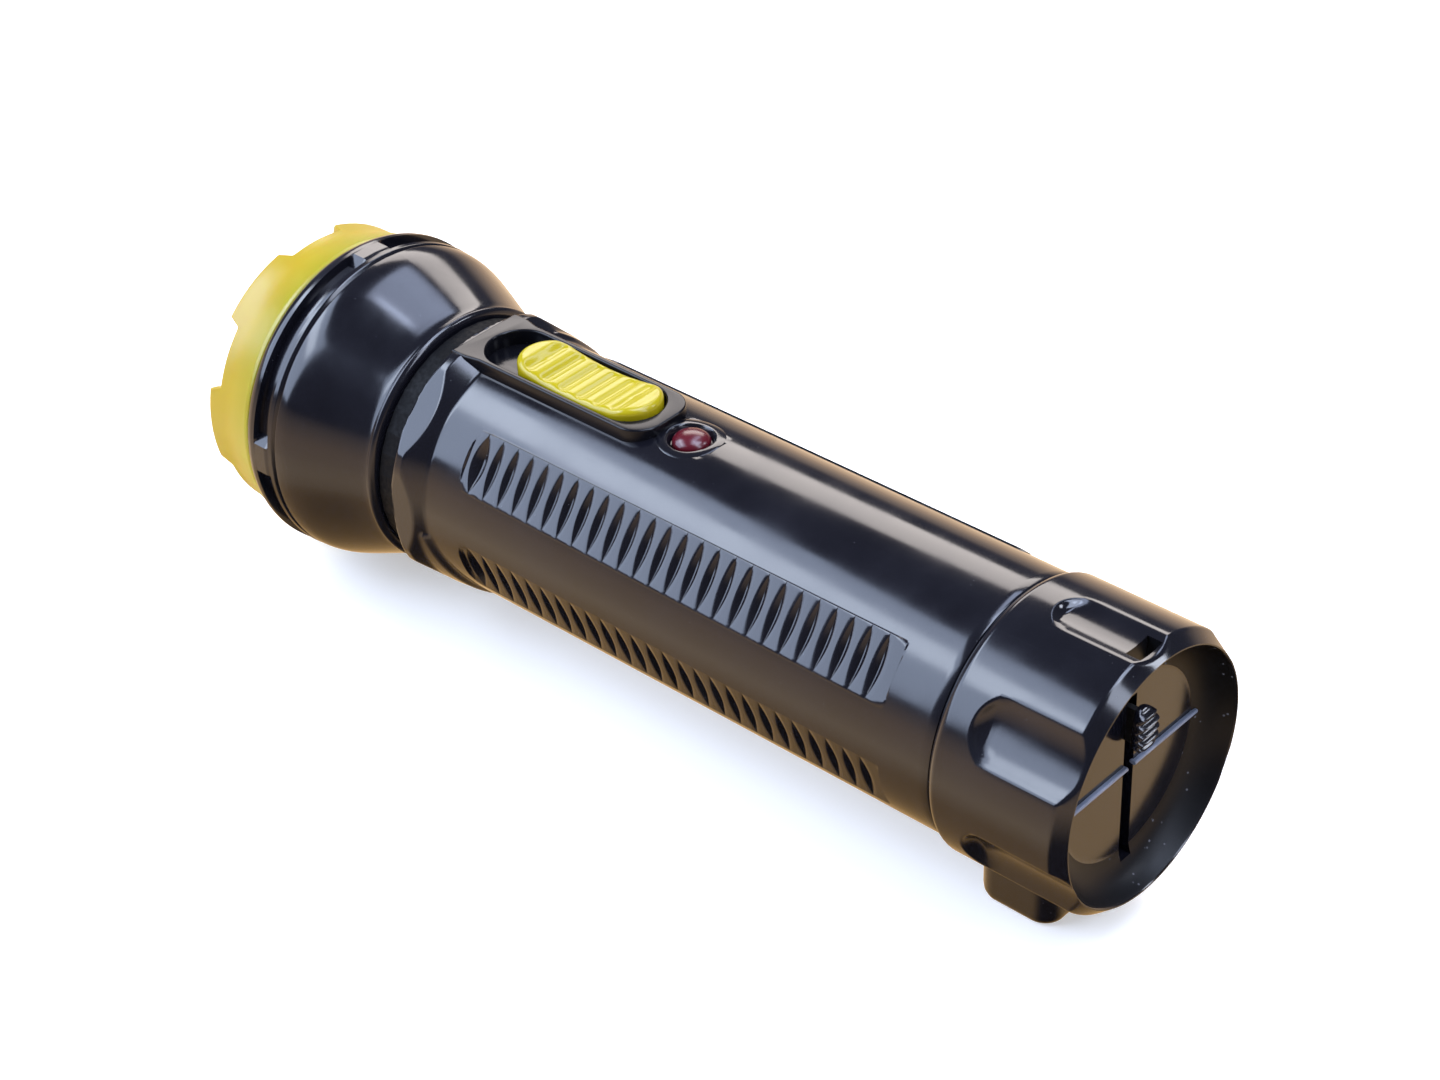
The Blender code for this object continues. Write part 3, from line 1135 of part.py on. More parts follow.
def make_wires():
    """The wires between the charger, the cell, the switch and the lamp."""
    for name, (colour, stops) in WIRE_ROUTES.items():
        path = [point(s * MM, y * MM, h * MM) for s, y, h in stops]
        wire(name, path, WIRE_RADIUS, colour)


# ---------------------------------------------------------------- assembly


def slide_parent(name, place, pieces):
    """An empty on a sliding joint's line that carries the pieces which slide together."""
    empty = bpy.data.objects.new(name, None)
    empty.location = place
    PARTS.objects.link(empty)
    for piece in pieces:
        piece.parent = empty
        piece.matrix_parent_inverse = Matrix.Translation(place).inverted()
    return empty


def build():
    make_tail_cap()
    make_plug_guide()
    make_guide_screw("guide_screw_left", -1)
    make_guide_screw("guide_screw_right", 1)
    make_plug_contact("plug_contact_left", -1)
    make_plug_contact("plug_contact_right", 1)
    carriage = [make_plug_carrier(), make_plug_knob(), make_plug_pin("plug_pin_left", -1),
                make_plug_pin("plug_pin_right", 1)]
    slide_parent("plug_slide", point(PIN_S, 0.0, CARRIER_LOW), carriage)
    make_body_tube()
    slide_parent("switch_slide", point((BUTTON_REAR + BUTTON_FRONT) / 2, 0.0, RECESS_FLOOR),
                 [make_switch_button(), make_switch_slider()])
    make_switch_base()
    make_switch_contact("switch_contact_rear", SWITCH_CONTACT_REAR)
    make_switch_contact("switch_contact_front", SWITCH_CONTACT_FRONT)
    make_indicator()
    make_gasket("neck_gasket", *NECK_GASKET)
    make_head_shell()
    make_bezel_ring()
    make_lens()
    make_gasket("lens_gasket", *LENS_GASKET)
    make_reflector()
    make_led_parts()
    make_battery()
    make_battery_cradle()
    make_contact_spring()
    make_battery_contacts()
    make_charger()
    make_wires()


build()
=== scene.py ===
import math

import bmesh
import bpy
import numpy as np
from mathutils import Matrix, Vector


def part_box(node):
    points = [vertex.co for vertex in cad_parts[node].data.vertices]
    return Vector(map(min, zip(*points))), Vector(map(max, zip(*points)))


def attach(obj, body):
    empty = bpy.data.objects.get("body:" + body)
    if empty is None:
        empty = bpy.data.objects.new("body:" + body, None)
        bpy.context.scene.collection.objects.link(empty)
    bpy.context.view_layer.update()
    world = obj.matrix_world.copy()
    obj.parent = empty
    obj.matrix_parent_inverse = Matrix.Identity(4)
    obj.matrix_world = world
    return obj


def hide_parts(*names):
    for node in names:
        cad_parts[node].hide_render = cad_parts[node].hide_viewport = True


# Looks of the rechargeable firefighter flashlight. Lengths are in millimetres:
# s runs from the tail rim towards the head, y across, h up from the tube's axis.
# An angle turns from the top of the tube towards -Y.

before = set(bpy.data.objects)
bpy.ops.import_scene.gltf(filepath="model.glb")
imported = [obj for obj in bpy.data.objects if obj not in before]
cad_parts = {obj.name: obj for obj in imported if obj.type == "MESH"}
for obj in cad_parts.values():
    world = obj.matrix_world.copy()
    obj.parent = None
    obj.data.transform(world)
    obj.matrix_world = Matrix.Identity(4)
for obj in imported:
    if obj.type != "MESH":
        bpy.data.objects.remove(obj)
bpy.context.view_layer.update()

MM = 0.001
TAIL_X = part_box("tail_cap")[1].x / MM
HEAD_LOW, HEAD_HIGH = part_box("head_shell")
AXIS_HEIGHT = (HEAD_LOW.z + HEAD_HIGH.z) / 2 / MM
LENGTH = TAIL_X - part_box("bezel_ring")[0].x / MM
CAP_LENGTH = TAIL_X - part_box("tail_cap")[0].x / MM
HEAD_REAR = TAIL_X - HEAD_HIGH.x / MM
HOUSING = "housing"

# Tail cap.
CAP_RADIUS = 22.0
RIM_RADIUS = 20.3
CAP_CHAMFER = 2.0
CAP_BORE = 19.5
CAP_BLEND = 0.3
CAP_FRONT_RADIUS = 20.6
CAP_FRONT_ROLL = 1.5
CAP_FRONT_DROP = 0.9
DISH_FLOOR = 4.6
DISH_FLAT = (0.0, 5.0, 10.0, 14.5)
DISH_WALL = ((4.58, 15.2), (4.45, 16.0), (4.15, 17.0), (3.5, 18.0), (2.6, 18.85), (1.6, 19.4),
             (0.6, 19.8), (0.15, 19.95), (0.0, 20.1))
PLATE_BACK = 6.8
SCALLOPS = ((0.0, 10.3), (56.5, 13.5), (-56.5, 13.5), (116.0, 15.0), (-116.0, 15.0))
SCALLOP_RADIUS = 14.0
SCALLOP_FRONT = 17.8
SCALLOP_BOW = 1.6
SCALLOP_END = 2.0
SCALLOP_END_RISE = 0.32
LANYARD_EYE = ((1.9, 4.4), (-2.6, 2.6), (16.0, 24.0))
RIB = ((3.95, 5.0), (-16.2, 16.2), (-0.36, 0.28))
RIB_GAP = ((3.0, 6.0), (-0.85, 0.85), (-2.0, 2.0))
RIB_ROUNDING = 0.24
BOSS_REAR = 9.2
BOSS_FRONT = 23.1
BOSS_HALF_WIDTH = 10.7
BOSS_CORNER = 3.6
BOSS_TOP = -18.0
PIN_S = 16.0
PIN_Y = 6.35
PIN_HOLE_HALF = (3.7, 1.25)
PIN_HOLE_HEIGHTS = (-30.0, -24.0)
PIN_ROOM = ((10.7, 21.6), (-9.2, 9.2), (-25.8, -12.0))
KNOB_SLOT = ((2.0, 8.0), (-1.2, 1.2), (-17.0, 12.2))
KNOB_SPAN = (3.9, 11.3)
KNOB_HALF_WIDTH = 2.4
KNOB_FACE = 0.9
KNOB_BACK = 3.3
KNOB_PITCH = 1.35
KNOB_RIDGE = 0.75
KNOB_SQUARENESS = 0.6

# Body tube.
BODY_RADIUS = 20.9
BODY_REAR = CAP_LENGTH + 0.3
BODY_BORE = 17.6
BODY_REAR_EDGE = ((BODY_REAR, 19.6), (BODY_REAR, 20.6), (BODY_REAR + 0.08, 20.8))
SUNKEN_RADIUS = 18.2
SPIGOT_REAR = 19.5
SPIGOT_FRONT = 23.3
SPIGOT_RADIUS = 19.2
COLLAR_REAR = 125.0
COLLAR_CORNER = 128.7
COLLAR_CORNER_RADIUS = 23.2
COLLAR_FRONT = 131.1
COLLAR_FRONT_RADIUS = 22.4
COLLAR_FLAT = 22.0
COLLAR_FACE = COLLAR_FRONT + 0.12
COLLAR_FACE_RADII = (22.1, 20.0)
HEEL_TURN = 214.0
HEEL_SPREAD = 0.44
HEEL_REAR = 124.5
HEEL_SWEEP = 5.9
HEEL_STEP = ((-0.6, -0.6), (0.0, 0.0), (1.3, 0.8), (4.5, 1.1))
NECK_RADIUS = 19.8
NECK_STOPS = (131.4, 136.0, 145.0)
PIN_NOTCH = ((17.5, BODY_REAR - 0.2), (-11.8, 11.8), (-22.0, -10.0))
PANEL_ANGLES = (54.6, -54.6, 108.5, -108.5)
PANEL_HEIGHTS = (20.57, 20.57, 20.3, 20.3)
PANEL_HALF_WIDTH = 5.1
PANEL_REAR = 32.8
PANEL_FRONT = 118.3
PANEL_CORNERS = (1.0, 3.2)
PANEL_REACH = math.radians(20)
NOTCH_COUNT = 26
NOTCH_FIRST = 36.1
NOTCH_PITCH = 3.19
NOTCH_DEPTH = 0.78
NOTCH_HALF_LENGTH = 4.75
NOTCH_HALF_WIDTH = 0.82
FIRST_NOTCH_WIDENING = 1.7
NOTCH_TIP = 0.05
NOTCH_ROWS = (-1.12, -0.98, -0.92, -0.5, -0.1, 0.1, 0.5, 0.92, 0.98, 1.12)
FIRST_NOTCH_ROWS = (*np.linspace(-1.12, -0.1, 10), *np.linspace(0.1, 1.12, 10))

# Switch platform, its recess and the button.
PLATFORM_REAR = 90.5
PLATFORM_TOP = 22.2
PLATFORM_BOTTOM = 18.7
PLATFORM_ROUNDING = 0.32
PLATFORM_HALF_WIDTH = 6.5
PLATFORM_CORNER = 4.5
PLATFORM_WIDE_START = 125.2
PLATFORM_WIDE_FRONT = 127.8
PLATFORM_WIDE_HALF_WIDTH = 7.1
RECESS_REAR = 93.1
RECESS_FRONT = 128.0
RECESS_HALF_WIDTH = 5.5
RECESS_FLOOR = 19.6
RECESS_BOTTOM = 18.8
BUTTON_REAR = 93.5
BUTTON_FRONT = 121.0
BUTTON_MIDDLE = (BUTTON_REAR + BUTTON_FRONT) / 2
BUTTON_BOTTOM = RECESS_FLOOR + 0.35
BUTTON_ROUNDING = 1.1
BUTTON_RIDGE_PITCH = 3.7
BUTTON_RIDGE = 0.38
BUTTON_HALF_WIDTH = 5.15
BUTTON_END_TOP = 23.6
BUTTON_DIP_TOP = 22.3
STEM_HALF = (4.0, 1.5)
STEM_HEIGHTS = (16.5, 20.4)
SWITCH_TRAVEL = 6.2
STEM_SLOT = (BUTTON_MIDDLE - 4.4, BUTTON_MIDDLE + 4.4 + SWITCH_TRAVEL)
STEM_SLOT_HALF_WIDTH = 1.9
TUBE_WALL_HEIGHTS = (14.0, 21.0)

# Charging light.
INDICATOR_S = 86.1
LAMP_HOLE_HALF = 1.9
LAMP_POCKET = 4.65
SEAT_PROFILE = ((5.3, -0.5), (5.3, -0.02), (5.2, 0.03), (4.1, 0.05), (3.9, 0.02), (3.78, -0.08),
                (3.7, -0.22), (3.2, -1.35), (3.05, -1.4), (1.9, -1.4), (1.9, -2.3), (4.0, -2.3))
SEAT_DRAPE = 3.4
DOME_RADIUS = 3.0
DOME_BOTTOM = 19.6
DOME_EDGE = 20.0
DOME_RISE = 1.6

# Head.
HEAD_RADIUS = 27.3
BEZEL_REAR = 160.9
HEAD_FRONT = BEZEL_REAR - 0.25
HEAD_PROFILE = (
    (HEAD_REAR, 21.05), (136.45, 21.75), (136.95, 22.0), (137.35, 21.85), (137.7, 21.62),
    (138.3, 21.7), (139.7, 22.15), (141.4, 22.78), (143.0, 23.42), (145.2, 24.32), (147.4, 25.22),
    (148.8, 25.78), (150.2, 26.3), (151.6, 26.72), (152.8, 26.93), (155.2, 27.12),
    (156.0, HEAD_RADIUS), (159.0, HEAD_RADIUS), (159.8, 27.12), (160.3, 26.85), (HEAD_FRONT, 26.3))
HEAD_INSIDE = ((HEAD_FRONT, 25.2), (153.0, 25.2), (153.0, 24.4), (150.0, 23.2), (146.5, 20.1))
HEAD_REAR_RADII = (20.1, 20.8)
SEAM_S = 154.0
SEAM_HALF_WIDTH = 0.45
SEAM_DEPTH = 0.4
HEAD_SLOT_S = 156.8
HEAD_SLOT_WIDTH = 3.0
HEAD_SLOT_RADIUS = 25.8
HEAD_SLOT_END = 1.7
HEAD_LAND_WIDTH = 5.2
HEAD_LAND_TURN = -1.5
BEZEL_PROFILE = ((BEZEL_REAR, 26.0), (161.15, 26.25), (161.6, 26.3), (162.5, 26.1), (164.0, 25.75),
                 (165.5, 25.42), (167.0, 25.12), (168.5, 24.95), (170.2, 24.88), (172.6, 24.85))
BEZEL_BORE = 21.8
BEZEL_SPIGOT_REAR = 153.4
BEZEL_SPIGOT_RADIUS = 24.9
BEZEL_BODY_END = 168.0
LENS_RADIUS = 23.0
LENS_REAR = 164.7
LENS_FRONT = 167.0
TOOTH_COUNT = 6
TOOTH_DEPTH = 2.5
TOOTH_GAP_HALF = 13.4
TOOTH_SLOPE = 3.0
TOOTH_ROUNDING = 0.7
TOOTH_INNER_ROUNDING = 0.5

# Reflector.
CUP_REAR = 144.2
CUP_FRONT = 161.9
CUP_RADIUS = 21.0
CUP_HOLE = 4.5
CUP_WALL = 1.2
CUP_RIM = ((CUP_FRONT - 1.0, 22.2), (CUP_FRONT - 1.0, 22.6), (CUP_FRONT + 0.4, 22.6),
           (CUP_FRONT + 0.4, CUP_RADIUS + 0.1))
CUP_RINGS = 24

# Studio.
FLOOR_SIZE = 8.0
FLOOR_GAP = 0.0002
BACKGROUND = (0.93, 0.93, 0.93)
# The surround's colours, from straight below at 0 to straight above at 1.
SURROUND = ((0.0, (0.40, 0.24, 0.09)), (0.14, (0.90, 0.56, 0.24)), (0.24, (1.65, 1.20, 0.76)),
            (0.42, (1.40, 0.98, 0.66)), (0.52, (0.80, 0.62, 0.50)), (0.58, (0.12, 0.12, 0.15)),
            (1.0, (0.15, 0.16, 0.20)))
DARK_SPOT = (0.45, -0.33, -0.83)
DARK_SPOT_EDGES = (0.72, 0.92)
DARK_SPOT_LEVEL = 0.06
# Each light's name, direction, distance and size in metres, power in watts, and colour.
LIGHTS = (
    ("window", (-0.60, -0.50, 0.58), 1.1, (1.05, 1.05), 22.5, (0.62, 0.74, 1.0)),
    ("window_core", (-0.557, -0.37, 0.743), 1.05, (0.9, 0.20), 3.6, (0.80, 0.88, 1.0)),
    ("overhead", (0.25, 0.18, 0.95), 1.2, (0.50, 0.74), 12.0, (0.66, 0.76, 1.0)),
    ("bell_patch", (-0.11, 0.40, 0.91), 1.2, (0.26, 0.78), 4.2, (0.62, 0.72, 1.0)),
    ("tail_side", (0.66, 0.05, 0.68), 1.2, (0.26, 1.1), 8.0, (0.72, 0.80, 1.0)),
    ("rib_glint", (0.557, 0.59, 0.534), 1.2, (0.22, 0.22), 2.2, (0.8, 0.86, 1.0)),
    ("back_wall", (-0.50, 0.68, 0.52), 1.3, (0.9, 0.45), 7.5, (1.0, 0.92, 0.88)),
)
CAMERA_LENS = 75.6
CAMERA_SENSOR = 36.0
CAMERA_RIGHT = Vector((0.7442, 0.6671, -0.0331))
CAMERA_UP = Vector((-0.3685, 0.4515, 0.8126))
CAMERA_PLACE = (0.26305, -0.27425, 0.30056)


# Numbers


def stretches(*stops):
    """Values that pass through the stops, given as value, spacing, value, spacing, ... value."""
    values = [np.array([stops[0]], float)]
    for low, spacing, high in zip(stops[0::2], stops[1::2], stops[2::2]):
        count = max(int(math.ceil((high - low) / spacing - 1e-6)), 1)
        values.append(np.linspace(low, high, count + 1)[1:])
    return np.concatenate(values)


def smooth_step(value, low, high):
    t = np.clip((value - low) / (high - low), 0.0, 1.0)
    return t * t * (3 - 2 * t)


def smooth_min(a, b, blend):
    t = np.clip(0.5 + 0.5 * (b - a) / blend, 0.0, 1.0)
    return b * (1 - t) + a * t - blend * t * (1 - t)


def smooth_max(a, b, blend):
    return -smooth_min(-a, -b, blend)


def rounded_box_distance(x, y, half_x, half_y, radius):
    """Signed distance to a rounded rectangle centred on the origin, negative inside."""
    dx = np.abs(x) - half_x + radius
    dy = np.abs(y) - half_y + radius
    outside = np.hypot(np.maximum(dx, 0.0), np.maximum(dy, 0.0))
    return outside + np.minimum(np.maximum(dx, dy), 0.0) - radius


def turned(angle):
    """An angle brought between -pi and pi."""
    return (angle + math.pi) % (2 * math.pi) - math.pi


def curve_through(points, samples):
    """Smooth monotone values at the samples through (s, radius) points."""
    s = np.array([p[0] for p in points])
    r = np.array([p[1] for p in points])
    slope = np.diff(r) / np.diff(s)
    tangent = np.zeros_like(r)
    tangent[0] = slope[0]
    tangent[-1] = slope[-1]
    same_way = slope[:-1] * slope[1:] > 0
    product = 2 * slope[:-1] * slope[1:]
    total = slope[:-1] + slope[1:]
    tangent[1:-1] = np.where(same_way, product / np.where(same_way, total, 1.0), 0.0)
    index = np.clip(np.searchsorted(s, samples) - 1, 0, len(s) - 2)
    span = s[index + 1] - s[index]
    t = (samples - s[index]) / span
    return (
        (2 * t ** 3 - 3 * t ** 2 + 1) * r[index]
        + (t ** 3 - 2 * t ** 2 + t) * span * tangent[index]
        + (3 * t ** 2 - 2 * t ** 3) * r[index + 1]
        + (t ** 3 - t ** 2) * span * tangent[index + 1]
    )


# Meshes


def place(s, y, h):
    """World points in metres."""
    s, y, h = np.broadcast_arrays(s, y, h)
    return np.stack([TAIL_X - s, y, AXIS_HEIGHT + h], axis=-1) * MM


def around(s, radius, angles):
    """World points of one ring or more about the tube's axis."""
    return place(s, -radius * np.sin(angles), radius * np.cos(angles))


def profile_rings(profile, columns):
    """Rings through (s, radius) points."""
    return [around(s, radius, columns) for s, radius in profile]


def either_side(middle, half):
    return middle - half, middle + half


def weld(mesh, distance=0.000002):
    """Joins coinciding points and turns every face outwards."""
    bm = bmesh.new()
    bm.from_mesh(mesh)
    bmesh.ops.remove_doubles(bm, verts=bm.verts, dist=distance)
    bmesh.ops.dissolve_degenerate(bm, edges=bm.edges, dist=distance / 4)
    bmesh.ops.recalc_face_normals(bm, faces=bm.faces)
    bm.to_mesh(mesh)
    bm.free()


def new_piece(name, vertices, faces, material):
    mesh = bpy.data.meshes.new(name)
    mesh.from_pydata(vertices, [], faces)
    weld(mesh)
    return finish_piece(link_object(name, mesh), material)


def link_object(name, data):
    holder = bpy.data.objects.new(name, data)
    bpy.context.scene.collection.objects.link(holder)
    return holder


def evaluated_mesh(holder):
    """A new mesh of an object with its modifiers or curve bevel worked out."""
    graph = bpy.context.evaluated_depsgraph_get()
    return bpy.data.meshes.new_from_object(holder.evaluated_get(graph))


def finish_piece(piece, material):
    """Gives a piece its material and smooth shading with crisp edges."""
    piece.data.materials.clear()
    piece.data.materials.append(material)
    piece.data.shade_smooth()
    piece.data.set_sharp_from_angle(angle=math.radians(32.0))
    return piece


def ring_piece(name, rings, material, closed=True):
    """A piece through rings of equal counts; closed joins the last ring to the first."""
    rings = np.array(rings)
    count, columns = rings.shape[:2]
    index = np.arange(count * columns).reshape(count, columns)
    beside = np.roll(index, -1, axis=1)
    last = count if closed else count - 1
    onward = np.roll(index, -1, axis=0)[:last]
    onward_beside = np.roll(beside, -1, axis=0)[:last]
    faces = np.stack([index[:last], beside[:last], onward_beside, onward], axis=-1)
    return new_piece(name, rings.reshape(-1, 3), faces.reshape(-1, 4).tolist(), material)


def lathe_piece(name, profile, material, steps=160):
    """Turns a closed (s, radius) outline about the tube's axis."""
    angles = np.linspace(0, 2 * math.pi, steps, endpoint=False)
    return ring_piece(name, profile_rings(profile, angles), material)


def softened(profile, radius, steps=3):
    """Rounds an outline's corners, but for those on the axis, by arcs of about the given radius."""
    points = [Vector(p) for p in profile]
    rounded = []
    for index, corner in enumerate(points):
        before = points[index - 1]
        after = points[(index + 1) % len(points)]
        if corner.y <= 0.0:
            rounded.append((corner.x, corner.y))
            continue
        reach = min(radius, (before - corner).length / 2.2, (after - corner).length / 2.2)
        first = corner + (before - corner).normalized() * reach
        last = corner + (after - corner).normalized() * reach
        for step in range(steps + 1):
            t = step / steps
            spot = first * (1 - t) ** 2 + corner * 2 * t * (1 - t) + last * t ** 2
            rounded.append((spot.x, spot.y))
    return rounded


def cut(piece, cutters, material):
    """Cuts closed cutters out of a piece and removes them."""
    for cutter in cutters:
        modifier = piece.modifiers.new(cutter.name, "BOOLEAN")
        modifier.operation = "DIFFERENCE"
        modifier.object = cutter
    mesh = evaluated_mesh(piece)
    piece.modifiers.clear()
    whole = piece.data
    piece.data = mesh
    bpy.data.meshes.remove(whole)
    for cutter in cutters:
        bpy.data.objects.remove(cutter)
    return finish_piece(piece, material)


def block(name, s_range, y_range, h_range, material, soft=0.0):
    """A box with softly rounded edges."""
    bm = bmesh.new()
    bmesh.ops.create_cube(bm, size=1.0)
    low = Vector(place(s_range[1], y_range[0], h_range[0]))
    high = Vector(place(s_range[0], y_range[1], h_range[1]))
    bmesh.ops.scale(bm, vec=high - low, verts=bm.verts)
    bmesh.ops.translate(bm, vec=(low + high) / 2, verts=bm.verts)
    if soft:
        bmesh.ops.bevel(bm, geom=bm.edges[:], offset=soft * MM, segments=4, affect="EDGES",
                        profile=0.5)
    mesh = bpy.data.meshes.new(name)
    bm.to_mesh(mesh)
    bm.free()
    return finish_piece(link_object(name, mesh), material)


def outline_plate(name, loops, low, high, soft, material):
    """A plate from loops of (s, y) points, holes included, with rounded upper and lower edges."""
    curve = bpy.data.curves.new(name, "CURVE")
    curve.dimensions = "2D"
    curve.fill_mode = "BOTH"
    curve.extrude = ((high - low) / 2 - soft) * MM
    curve.bevel_depth = soft * MM
    curve.bevel_resolution = 4
    curve.offset = -soft * MM
    for loop in loops:
        spline = curve.splines.new("POLY")
        spline.points.add(len(loop) - 1)
        spline.use_cyclic_u = True
        for spot, (s, y) in zip(spline.points, loop):
            spot.co = ((TAIL_X - s) * MM, y * MM, 0.0, 1.0)
    holder = link_object(name, curve)
    mesh = evaluated_mesh(holder)
    bpy.data.objects.remove(holder)
    bpy.data.curves.remove(curve)
    mesh.transform(Matrix.Translation((0, 0, (AXIS_HEIGHT + (low + high) / 2) * MM)))
    weld(mesh, 0.000001)
    return finish_piece(link_object(name, mesh), material)


def rounded_loop(s_range, half_width, radius, steps=16):
    """Points of a rounded rectangle in (s, y)."""
    rear, front = s_range
    corners = ((front - radius, half_width - radius), (rear + radius, half_width - radius),
               (rear + radius, radius - half_width), (front - radius, radius - half_width))
    loop = []
    for quarter, (s, y) in enumerate(corners):
        for step in range(steps + 1):
            angle = math.radians(90.0 * quarter + 90.0 * step / steps)
            loop.append((s + radius * math.cos(angle), y + radius * math.sin(angle)))
    return loop


# Materials


HAIRLINE_TURNS = ((0.2, 0.1, 0.3), (1.1, 0.5, 1.4), (2.3, 1.0, 0.7))
HAIRLINE_STRETCH = (60.0, 2600.0, 2600.0)
EVEN = (1500.0, 1500.0, 1500.0)
BRUSHED = (120.0, 2200.0, 2200.0)


def feed(owner, value, socket):
    """Gives a socket a number or a colour, or links another node's output to it."""
    if isinstance(value, bpy.types.NodeSocket):
        owner.node_tree.links.new(value, socket)
    else:
        socket.default_value = (*value, 1.0) if isinstance(value, tuple) else value


def feed_all(owner, node, values):
    """Feeds sockets by name, where _ stands for a space."""
    for name, value in values.items():
        feed(owner, value, node.inputs[name.replace("_", " ")])
    return node


def new_node(owner, kind, **values):
    return feed_all(owner, owner.node_tree.nodes.new("ShaderNode" + kind), values)


def set_shader(material, **values):
    feed_all(material, material.node_tree.nodes["Principled BSDF"], values)


def start_material(name, **values):
    """A node material with its shader set, and object coordinates for its patterns."""
    material = bpy.data.materials.new(name)
    material.use_nodes = True
    set_shader(material, **values)
    return material, new_node(material, "TexCoord").outputs["Object"]


def pattern(owner, kind, source, scale, stretch=None, turn=(0.0, 0.0, 0.0), **values):
    """A texture fed with coordinates that can be stretched and turned."""
    if stretch:
        mapping = new_node(owner, "Mapping", Vector=source)
        mapping.inputs["Scale"].default_value = stretch
        mapping.inputs["Rotation"].default_value = turn
        source = mapping.outputs["Vector"]
    return new_node(owner, kind, Vector=source, Scale=scale, **values).outputs[0]


def ramp(owner, source, low, high, out_low, out_high):
    """Maps a pattern's range onto another range."""
    return new_node(owner, "MapRange", Value=source, From_Min=low, From_Max=high, To_Min=out_low,
                    To_Max=out_high).outputs["Result"]


def combine(owner, operation, *values):
    node = new_node(owner, "Math")
    node.operation = operation
    for socket, value in zip(node.inputs, values):
        feed(owner, value, socket)
    return node.outputs["Value"]


def mix_colours(owner, factor, first, second):
    node = new_node(owner, "Mix")
    node.data_type = "RGBA"
    feed_all(owner, node, {"Factor": factor, "A": first, "B": second})
    return node.outputs["Result"]


def bump(material, height, strength, distance):
    node = new_node(material, "Bump", Strength=strength, Distance=distance, Height=height)
    set_shader(material, Normal=node.outputs["Normal"])


def scratches(material, source, amount):
    """Fine hairlines in three directions, from 0 to amount."""
    total = 0.0
    for turn in HAIRLINE_TURNS:
        lines = pattern(material, "TexNoise", source, 1.0, HAIRLINE_STRETCH, turn, Detail=2.0)
        line = ramp(material, lines, 0.70, 0.78, 0.0, amount)
        total = combine(material, "MAXIMUM", total, line)
    return total


def gloss_plastic(name, colour, worn, dust_colour, roughness=(0.11, 0.2), dust=0.05, waves=0.12):
    """Polished moulded plastic with uneven gloss, hairlines and a little dust."""
    material, source = start_material(name)
    clouds = pattern(material, "TexNoise", source, 90.0, Detail=4.0)
    lines = scratches(material, source, 0.06)
    spots = pattern(material, "TexVoronoi", source, 700.0, Randomness=1.0)
    rare = pattern(material, "TexNoise", source, 260.0, Detail=1.0)
    near = ramp(material, spots, dust * 1.5, dust, 0.0, 1.0)
    chosen = ramp(material, rare, 0.5, 0.56, 0.0, 1.0)
    speck = combine(material, "MULTIPLY", near, chosen)
    tint = mix_colours(material, ramp(material, clouds, 0.3, 0.7, 0.0, 1.0), colour, worn)
    rough = ramp(material, clouds, 0.35, 0.7, *roughness)
    rough = combine(material, "ADD", rough, lines)
    rough = combine(material, "ADD", rough, combine(material, "MULTIPLY", speck, 0.4))
    set_shader(material, Base_Color=mix_colours(material, speck, tint, dust_colour),
               Roughness=rough)
    sink = pattern(material, "TexNoise", source, 45.0, Detail=2.0)
    fine = pattern(material, "TexNoise", source, 900.0, Detail=3.0)
    height = combine(material, "ADD", sink, combine(material, "MULTIPLY", fine, 0.02))
    bump(material, height, waves, 0.0006)
    return material


def dull_surface(name, colour, other, roughness, grain=EVEN, metallic=0.0, depth=0.25):
    """A surface with a fine grain, such as a matt moulding, rubber or brushed metal."""
    material, source = start_material(name, Metallic=metallic)
    clouds = pattern(material, "TexNoise", source, 180.0, Detail=5.0)
    fine = pattern(material, "TexNoise", source, 1.0, grain, Detail=3.0)
    blend = ramp(material, clouds, 0.35, 0.65, 0.0, 1.0)
    spread = ramp(material, fine, 0.3, 0.7, roughness * 0.8, roughness * 1.25)
    set_shader(material, Base_Color=mix_colours(material, blend, colour, other), Roughness=spread)
    bump(material, fine, depth, 0.0001)
    return material


def clear_material(name, colour, roughness):
    """Clear moulded plastic with faint flow lines."""
    material, source = start_material(name, Base_Color=colour, Transmission_Weight=1.0, IOR=1.49)
    flow = pattern(material, "TexNoise", source, 70.0, Detail=2.0)
    bump(material, flow, 0.04, 0.0003)
    set_shader(material, Roughness=ramp(material, flow, 0.4, 0.7, roughness, roughness + 0.05))
    return material


def shade_along_length(material, colour, near_s, far_s):
    """Blends a material's colour into another one between two places along the tube."""
    base = material.node_tree.nodes["Principled BSDF"].inputs["Base Color"].links[0].from_socket
    place_on_part = new_node(material, "TexCoord").outputs["Object"]
    along = new_node(material, "SeparateXYZ", Vector=place_on_part).outputs["X"]
    share = ramp(material, along, (TAIL_X - near_s) * MM, (TAIL_X - far_s) * MM, 0.0, 1.0)
    set_shader(material, Base_Color=mix_colours(material, share, base, colour))


